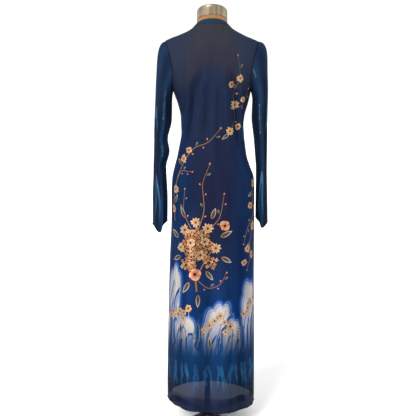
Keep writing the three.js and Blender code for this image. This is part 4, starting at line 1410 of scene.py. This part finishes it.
def cloth_material(name, period, tint=None, sheer=None):
    """Fine mesh: its print, threads, faint lengthwise shading and a soft sheen."""
    material, tree, shader = material_of(name)
    flat = node(tree, "UVMap", uv_map="cloth").outputs[0]
    if tint is None:
        colour = node(tree, "VertexColor", layer_name="print").outputs["Color"]
    else:
        colour = node(tree, "RGB").outputs[0]
        colour.default_value = (*(linear(tint) * DYE), 1)
    turned = [mapped(tree, flat, Rotation=(0, 0, math.radians(turn))) for turn in THREAD_TURNS]
    threads = maths(tree, "MAXIMUM", *(waves(tree, place, 0.314 / period, 0.35, 1.0) for place in turned))
    cloud = noise(tree, mapped(tree, flat, Scale=(0.05, 0.006, 1)), 1.0, 4.0, 0.55)
    colour = varied(tree, colour, cloud, 0.78, 1.2)
    feed(tree, shader, {
        "Base Color": varied(tree, colour, threads, 0.8, 1.06),
        "Roughness": spread(tree, cloud, 0.5, 0.7),
        "Specular IOR Level": 0.02,
        "Sheen Weight": 0.012,
        "Sheen Roughness": 0.5,
        "Sheen Tint": (0.45, 0.62, 0.9, 1),
        "Normal": bump(tree, threads, 0.25, 0.0002),
    })
    if sheer:
        height = node(tree, "SeparateXYZ", {0: flat}).outputs["Y"]
        stops = [(z / SHEER_Z, (clear, clear, clear)) for z, clear in sheer]
        through = ramp(tree, maths(tree, "DIVIDE", height, float(SHEER_Z)), stops)
        clear = node(tree, "BsdfTransparent").outputs[0]
        mix = node(tree, "MixShader", {0: through, 1: shader.outputs[0], 2: clear})
        feed(tree, tree.nodes["Material Output"], {"Surface": mix.outputs[0]})
    return material


def linen_material():
    """Plain woven linen: threads both ways, slubs and a warm uneven tone."""
    material, tree, shader = material_of("linen")
    place = mapped(tree, node(tree, "TexCoord").outputs["Object"], Scale=(1000, 1000, 1000))
    tone = ramp(tree, noise(tree, place, 0.35, 5.0), enumerate(linear(LINEN_TONES)))
    threads = maths(tree, "MULTIPLY", *(waves(tree, place, 0.26, 0.8, 2.0, way) for way in "XZ"))
    feed(tree, shader, {
        "Base Color": varied(tree, tone, threads, 0.86, 1.08),
        "Roughness": 0.9,
        "Sheen Weight": 0.15,
        "Normal": bump(tree, threads, 0.5, 0.0004),
    })
    return material


def metal_material(name, tones, roughness, metallic, stretch):
    """Metal with fine drawn marks along one direction and worn paler patches."""
    material, tree, shader = material_of(name)
    place = mapped(tree, node(tree, "TexCoord").outputs["Object"], Scale=stretch)
    marks = noise(tree, place, 1.0, 6.0, 0.6)
    feed(tree, shader, {
        "Base Color": ramp(tree, marks, zip((0.3, 0.7), linear(tones))),
        "Roughness": spread(tree, marks, roughness - 0.08, roughness + 0.12),
        "Metallic": metallic,
        "Normal": bump(tree, marks, 0.12, 0.0003),
    })
    return material


def floor_material():
    material, tree, shader = material_of("floor")
    grain = node(tree, "TexNoise", {"Scale": 3.0, "Detail": 2.0}).outputs["Fac"]
    greys = ramp(tree, grain, enumerate((grey,) * 3 for grey in FLOOR_GREYS))
    feed(tree, shader, {"Base Color": greys, "Roughness": 0.85})
    return material


# Form and stand
def turned_solid(name, profile, sides, place, material, squeeze=(1.0, 1.0), slope=0.0):
    """A solid turned from a profile of radius and height, capped where the radius is nothing."""
    turns = np.linspace(0, 2 * math.pi, sides, endpoint=False)
    rings = []
    for radius, z in profile:
        x, y = radius * np.cos(turns), radius * np.sin(turns)
        y = y * np.where(y < 0, squeeze[1], squeeze[0])
        rings.append(np.stack([x + place[0], y + place[1], z + slope * y], -1))
    obj = ringed(name, np.array(rings), material, 0)
    obj.data.set_sharp_from_angle(angle=math.radians(SHARP_FROM))
    return obj


def torso(material):
    """The padded torso inside the dress, and its bare neck above the band."""
    heights = np.concatenate([[TORSO_BOTTOM_Z], rows_between(TORSO_BOTTOM_Z + 4, NECK_TOP_Z, 8)])
    turns = np.arange(TORSO_SIDES) * 360 / TORSO_SIDES
    rings = []
    for n, z in enumerate(heights):
        inset = CLOTH + FORM_CLEARANCE["gap"](z) + (6 if n == 0 else 2 if n == 1 else 0)
        level = np.full(TORSO_SIDES, z)
        ring = plain_body(turns, level) - body_normal(turns, level) * inset
        if n < 2:
            ring[:, 2] = z
        rings.append(ring)
    for z, half, back, front in NECK_RINGS:
        c, s = np.cos(np.radians(turns)), np.sin(np.radians(turns))
        y = np.where(s >= 0, back, front) * s
        rings.append(np.stack([half * c, y, z + CAP_SLOPE * y], -1))
    return ringed("linen_torso", np.array(rings), material, 0)


def neck_cap(material):
    """The slanting metal cap: a rounded upper rim, a small bead near its foot and a domed top."""
    bottom = NECK_END_Z + 0.3
    wide, high = CAP_ROUND
    profile = [(0, 0), (-1.2, 0), (0, 1.2), (0, 3.2), (-0.7, 4.0), (0, 4.8), (0, CAP_HEIGHT - high)]
    for k in range(1, 9):
        turn = math.radians(90 * k / 8)
        profile.append((-wide * (1 - math.cos(turn)), CAP_HEIGHT - high + high * math.sin(turn)))
    profile += [(-24, CAP_HEIGHT + 1.6), (-44, CAP_HEIGHT + 2.4)]
    rings = [(CAP_RADIUS + inset, bottom + up) for inset, up in profile]
    front = (CAP_RADIUS - 4) / CAP_RADIUS
    return turned_solid("neck_cap", rings, TORSO_SIDES, (0, 0), material, (1.0, front), CAP_SLOPE)


def rounded(radius, bottom, top, bevel):
    """A plain round profile with softened edges."""
    return [(radius - bevel, bottom), (radius, bottom + bevel), (radius, top - bevel), (radius - bevel, top)]


def finish_piece(obj, slot, *nodes):
    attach(obj, "root")
    if nodes:
        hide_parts(*nodes)


def stand_pieces(frame, material):
    """The stand keeps the frame's sizes: round pieces are made finer, and the legs get soft edges."""
    for node_name in ("stand_flange", "stand_pole", "stand_hub", *(f"stand_foot_{k}" for k in range(1, 5))):
        low, high = (np.array(corner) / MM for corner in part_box(node_name))
        middle = (low + high) / 2
        radius = (high[0] - low[0]) / 2
        profile = rounded(radius, low[2], high[2], POLE_BEVEL if "pole" in node_name else STAND_BEVEL)
        name = node_name.replace("stand_", "iron_")
        finish_piece(turned_solid(name, profile, STAND_SIDES, middle[:2], material), "dark_iron", node_name)
    for k in range(1, 5):
        leg = frame["nodes"][f"stand_leg_{k}"]
        leg.data.materials.clear()
        leg.data.materials.append(material)
        bevel = leg.modifiers.new("edges", "BEVEL")
        bevel.width = LEG_BEVEL * MM
        bevel.segments = 2


# Dress
def seam_lines():
    """The side, shoulder and armhole seams as lines on the cloth, with the way out and across."""
    lines = []
    for angle in (0, 180):
        lines.append(body_line(angle, rows_between(HEM_Z + 3, UNDERARM_Z, 6), 0.2))
        lines.append(body_line(angle, rows_between(SHOULDER_Z, NECK_SEAM_Z - 1, 1.5), 0.3))
    _, place, out, into = armhole_loop(120)
    for mirror in (1, -1):
        flip = np.array([mirror, 1, 1])
        lines.append(((place + out * 0.5) * flip, out * flip, into * flip))
    return lines


def sew_seams(material, thread):
    lines = seam_lines()
    closed = [False] * 4 + [True] * 2
    strips = [rolled_strip(f"seam_{k}", *line, SEAM_ROLL, material, 8, close)
              for k, (line, close) in enumerate(zip(lines, closed))]
    rows = []
    for k, (line, out, across) in enumerate(lines):
        ends = looped if closed[k] else np.asarray
        for side in (-1, 1):
            beside = ends(line + across * side * 2.6 + out * 0.3)
            rows.append(stitches(f"row_{k}", beside, ends(out), STITCH_STEPS["seam"], thread))
    return joined("dress_seams", strips), joined("seam_stitches", rows)


def hem_strips(material, thread):
    """Narrow rolled hems of the skirt, one for each panel, and the stitches above them."""
    spans = {
        "hem_back": np.linspace(0, 180, 240),
        "hem_front_right": front_turn("over", np.linspace(0, front_edge(HEM_Z, "over", 0), 200)),
        "hem_front_left": front_turn("under", np.linspace(0, front_edge(HEM_Z, "under", 0), 190)),
    }
    strips, rows = {}, []
    for name, angles in spans.items():
        line, out, across = body_line(angles, HEM_Z + 0.8)
        strips[name] = rolled_strip(name, line, across, out, HEM_ROLL, material)
        above, out, _ = body_line(angles, HEM_Z + 9, 0.4)
        rows.append(stitches(name + "_row", above, out, STITCH_STEPS["hem"], thread))
    return strips, joined("hem_stitches", rows)


def cuff_strips(grids, material, thread):
    strips, rows = {}, []
    for side, grid in grids.items():
        line = grid[-1]
        up = unit(grid[-6] - line)
        along = np.roll(line, -1, axis=0) - np.roll(line, 1, axis=0)
        out = unit(np.cross(along, up)) * (1 if side == "left" else -1)
        strips[side] = rolled_strip(f"cuff_hem_{side}", line + up, up, out, HEM_ROLL, material, closed=True)
        above = looped(grid[-4] + out * 0.4)
        rows.append(stitches(f"cuff_row_{side}", above, looped(out), STITCH_STEPS["hem"], thread))
    return strips, joined("cuff_stitches", rows)


def neck_bands(material, thread):
    """The folded bands round the back of the neck and down both front edges, and their stitches."""
    bands, rows = {}, []
    angles = np.linspace(0, 180, 90)
    inner, out, _ = body_line(angles, NECK_SEAM_Z)
    outer, _, _ = body_line(angles, NECK_TOP_Z - 0.3)
    bands["back"] = band_strip("band_neck_back", inner, outer, out, material)
    seam, out, _ = body_line(angles, NECK_SEAM_Z + 2.2, 1.3)
    rows.append(stitches("neck_row", seam, out, STITCH_STEPS["band"], thread))
    z = np.concatenate([rows_between(HEM_Z, UNDERARM_Z, 5), rows_between(UNDERARM_Z, NECK_TOP_Z, 2)[1:]])
    for front, side in (("over", "right"), ("under", "left")):
        inner, out, _ = body_line(front_turn(front, front_edge(z, front, BAND)), z)
        outer, _, _ = body_line(front_turn(front, front_edge(z, front, 0)), z)
        bands[side] = band_strip(f"band_front_{side}", inner, outer, out, material)
        mark, out, _ = body_line(front_turn(front, front_edge(z, front, BAND - 2.4)), z, 1.4)
        rows.append(stitches(f"front_row_{side}", mark, out, STITCH_STEPS["band"], thread))
    return bands, joined("band_stitches", rows)


# Stage
def stage_scene():
    corners = np.array([[-1, -1, 0], [1, -1, 0], [1, 1, 0], [-1, 1, 0]]) * FLOOR_HALF
    floor = mesh_object("floor", corners, [[0, 1, 2, 3]], floor_material())
    world = bpy.data.worlds.new("studio")
    world.use_nodes = True
    light = world.node_tree.nodes["Background"]
    feed(world.node_tree, light, {"Color": (1, 1, 1, 1), "Strength": WORLD_LIGHT})
    bpy.context.scene.world = world
    for name, (power, width, turn) in SUNS.items():
        lamp = bpy.data.lights.new(name, "SUN")
        lamp.energy = power
        lamp.angle = math.radians(width)
        obj = bpy.data.objects.new(name, lamp)
        obj.rotation_euler = [math.radians(t) for t in turn]
        bpy.context.scene.collection.objects.link(obj)
    bpy.context.scene.view_settings.view_transform = "Standard"


def aim_camera():
    """From behind and a little above the waist, as the photograph is taken."""
    data = bpy.data.cameras.new("camera")
    data.lens = CAMERA_LENS
    data.sensor_width = CAMERA_SENSOR
    camera = bpy.data.objects.new("camera", data)
    camera.location = CAMERA_AT
    camera.rotation_euler = (math.radians(90 - CAMERA_DOWN), 0, math.radians(180))
    bpy.context.scene.collection.objects.link(camera)
    bpy.context.scene.camera = camera


def paint_all():
    paint_hem()
    paint_each(hill, HILLS)
    paint_meadow()
    paint_climber()
    paint_right_hip()
    paint_fronts()
    paint_bouquet()


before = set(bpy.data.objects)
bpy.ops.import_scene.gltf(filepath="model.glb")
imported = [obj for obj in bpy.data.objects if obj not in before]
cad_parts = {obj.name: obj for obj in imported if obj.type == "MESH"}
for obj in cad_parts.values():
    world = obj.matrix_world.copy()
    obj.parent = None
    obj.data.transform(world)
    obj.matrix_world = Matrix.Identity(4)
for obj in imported:
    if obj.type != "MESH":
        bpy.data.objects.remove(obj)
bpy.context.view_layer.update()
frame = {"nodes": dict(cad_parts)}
aim_camera()
stage_scene()
paint_all()

mesh_cloth = cloth_material("printed_mesh", MESH_PERIOD)
sheer_cloth = cloth_material("printed_mesh_sheer", MESH_PERIOD, sheer=SHEER_STOPS)
band_cloth = cloth_material("plain_mesh", MESH_PERIOD, tint=BAND_TEAL)
thread = cloth_material("thread", THREAD_PERIOD, tint=THREAD_BLUE)
linen = linen_material()
pewter = metal_material("pewter", PEWTER_TONES, 0.36, 0.9, (44, 44, 2))
iron = metal_material("dark_iron", IRON_TONES, 0.5, 0.7, (60, 60, 400))

outlines = {"back": back_outline(), "over": front_outline("over"), "under": front_outline("under")}
hems, hem_rows = hem_strips(mesh_cloth, thread)
for key, (name, solid, hem) in PANELS.items():
    panel = cloth_panel(name, outlines[key], mesh_cloth, sheer_cloth)
    finish_piece(panel, "printed_mesh", solid)

grids = {}
sleeves = {}
for side in ("left", "right"):
    sleeves[side], grids[side] = sleeve_sheet(side, mesh_cloth)
cuffs, cuff_rows = cuff_strips(grids, mesh_cloth, thread)
for side, sheet in sleeves.items():
    finish_piece(sheet, "printed_mesh", f"sleeve_{side}")

bands, band_rows = neck_bands(band_cloth, thread)
for side, band in bands.items():
    finish_piece(band, "plain_mesh", f"neckband_{side}")
seams, seam_rows = sew_seams(mesh_cloth, thread)
for piece in (*hems.values(), *cuffs.values(), seams):
    finish_piece(piece, "printed_mesh")
for piece in (hem_rows, cuff_rows, band_rows, seam_rows):
    finish_piece(piece, "plain_mesh")

finish_piece(torso(linen), "linen", "form_torso")
finish_piece(neck_cap(pewter), "pewter", "form_neck_cap")
stand_pieces(frame, iron)
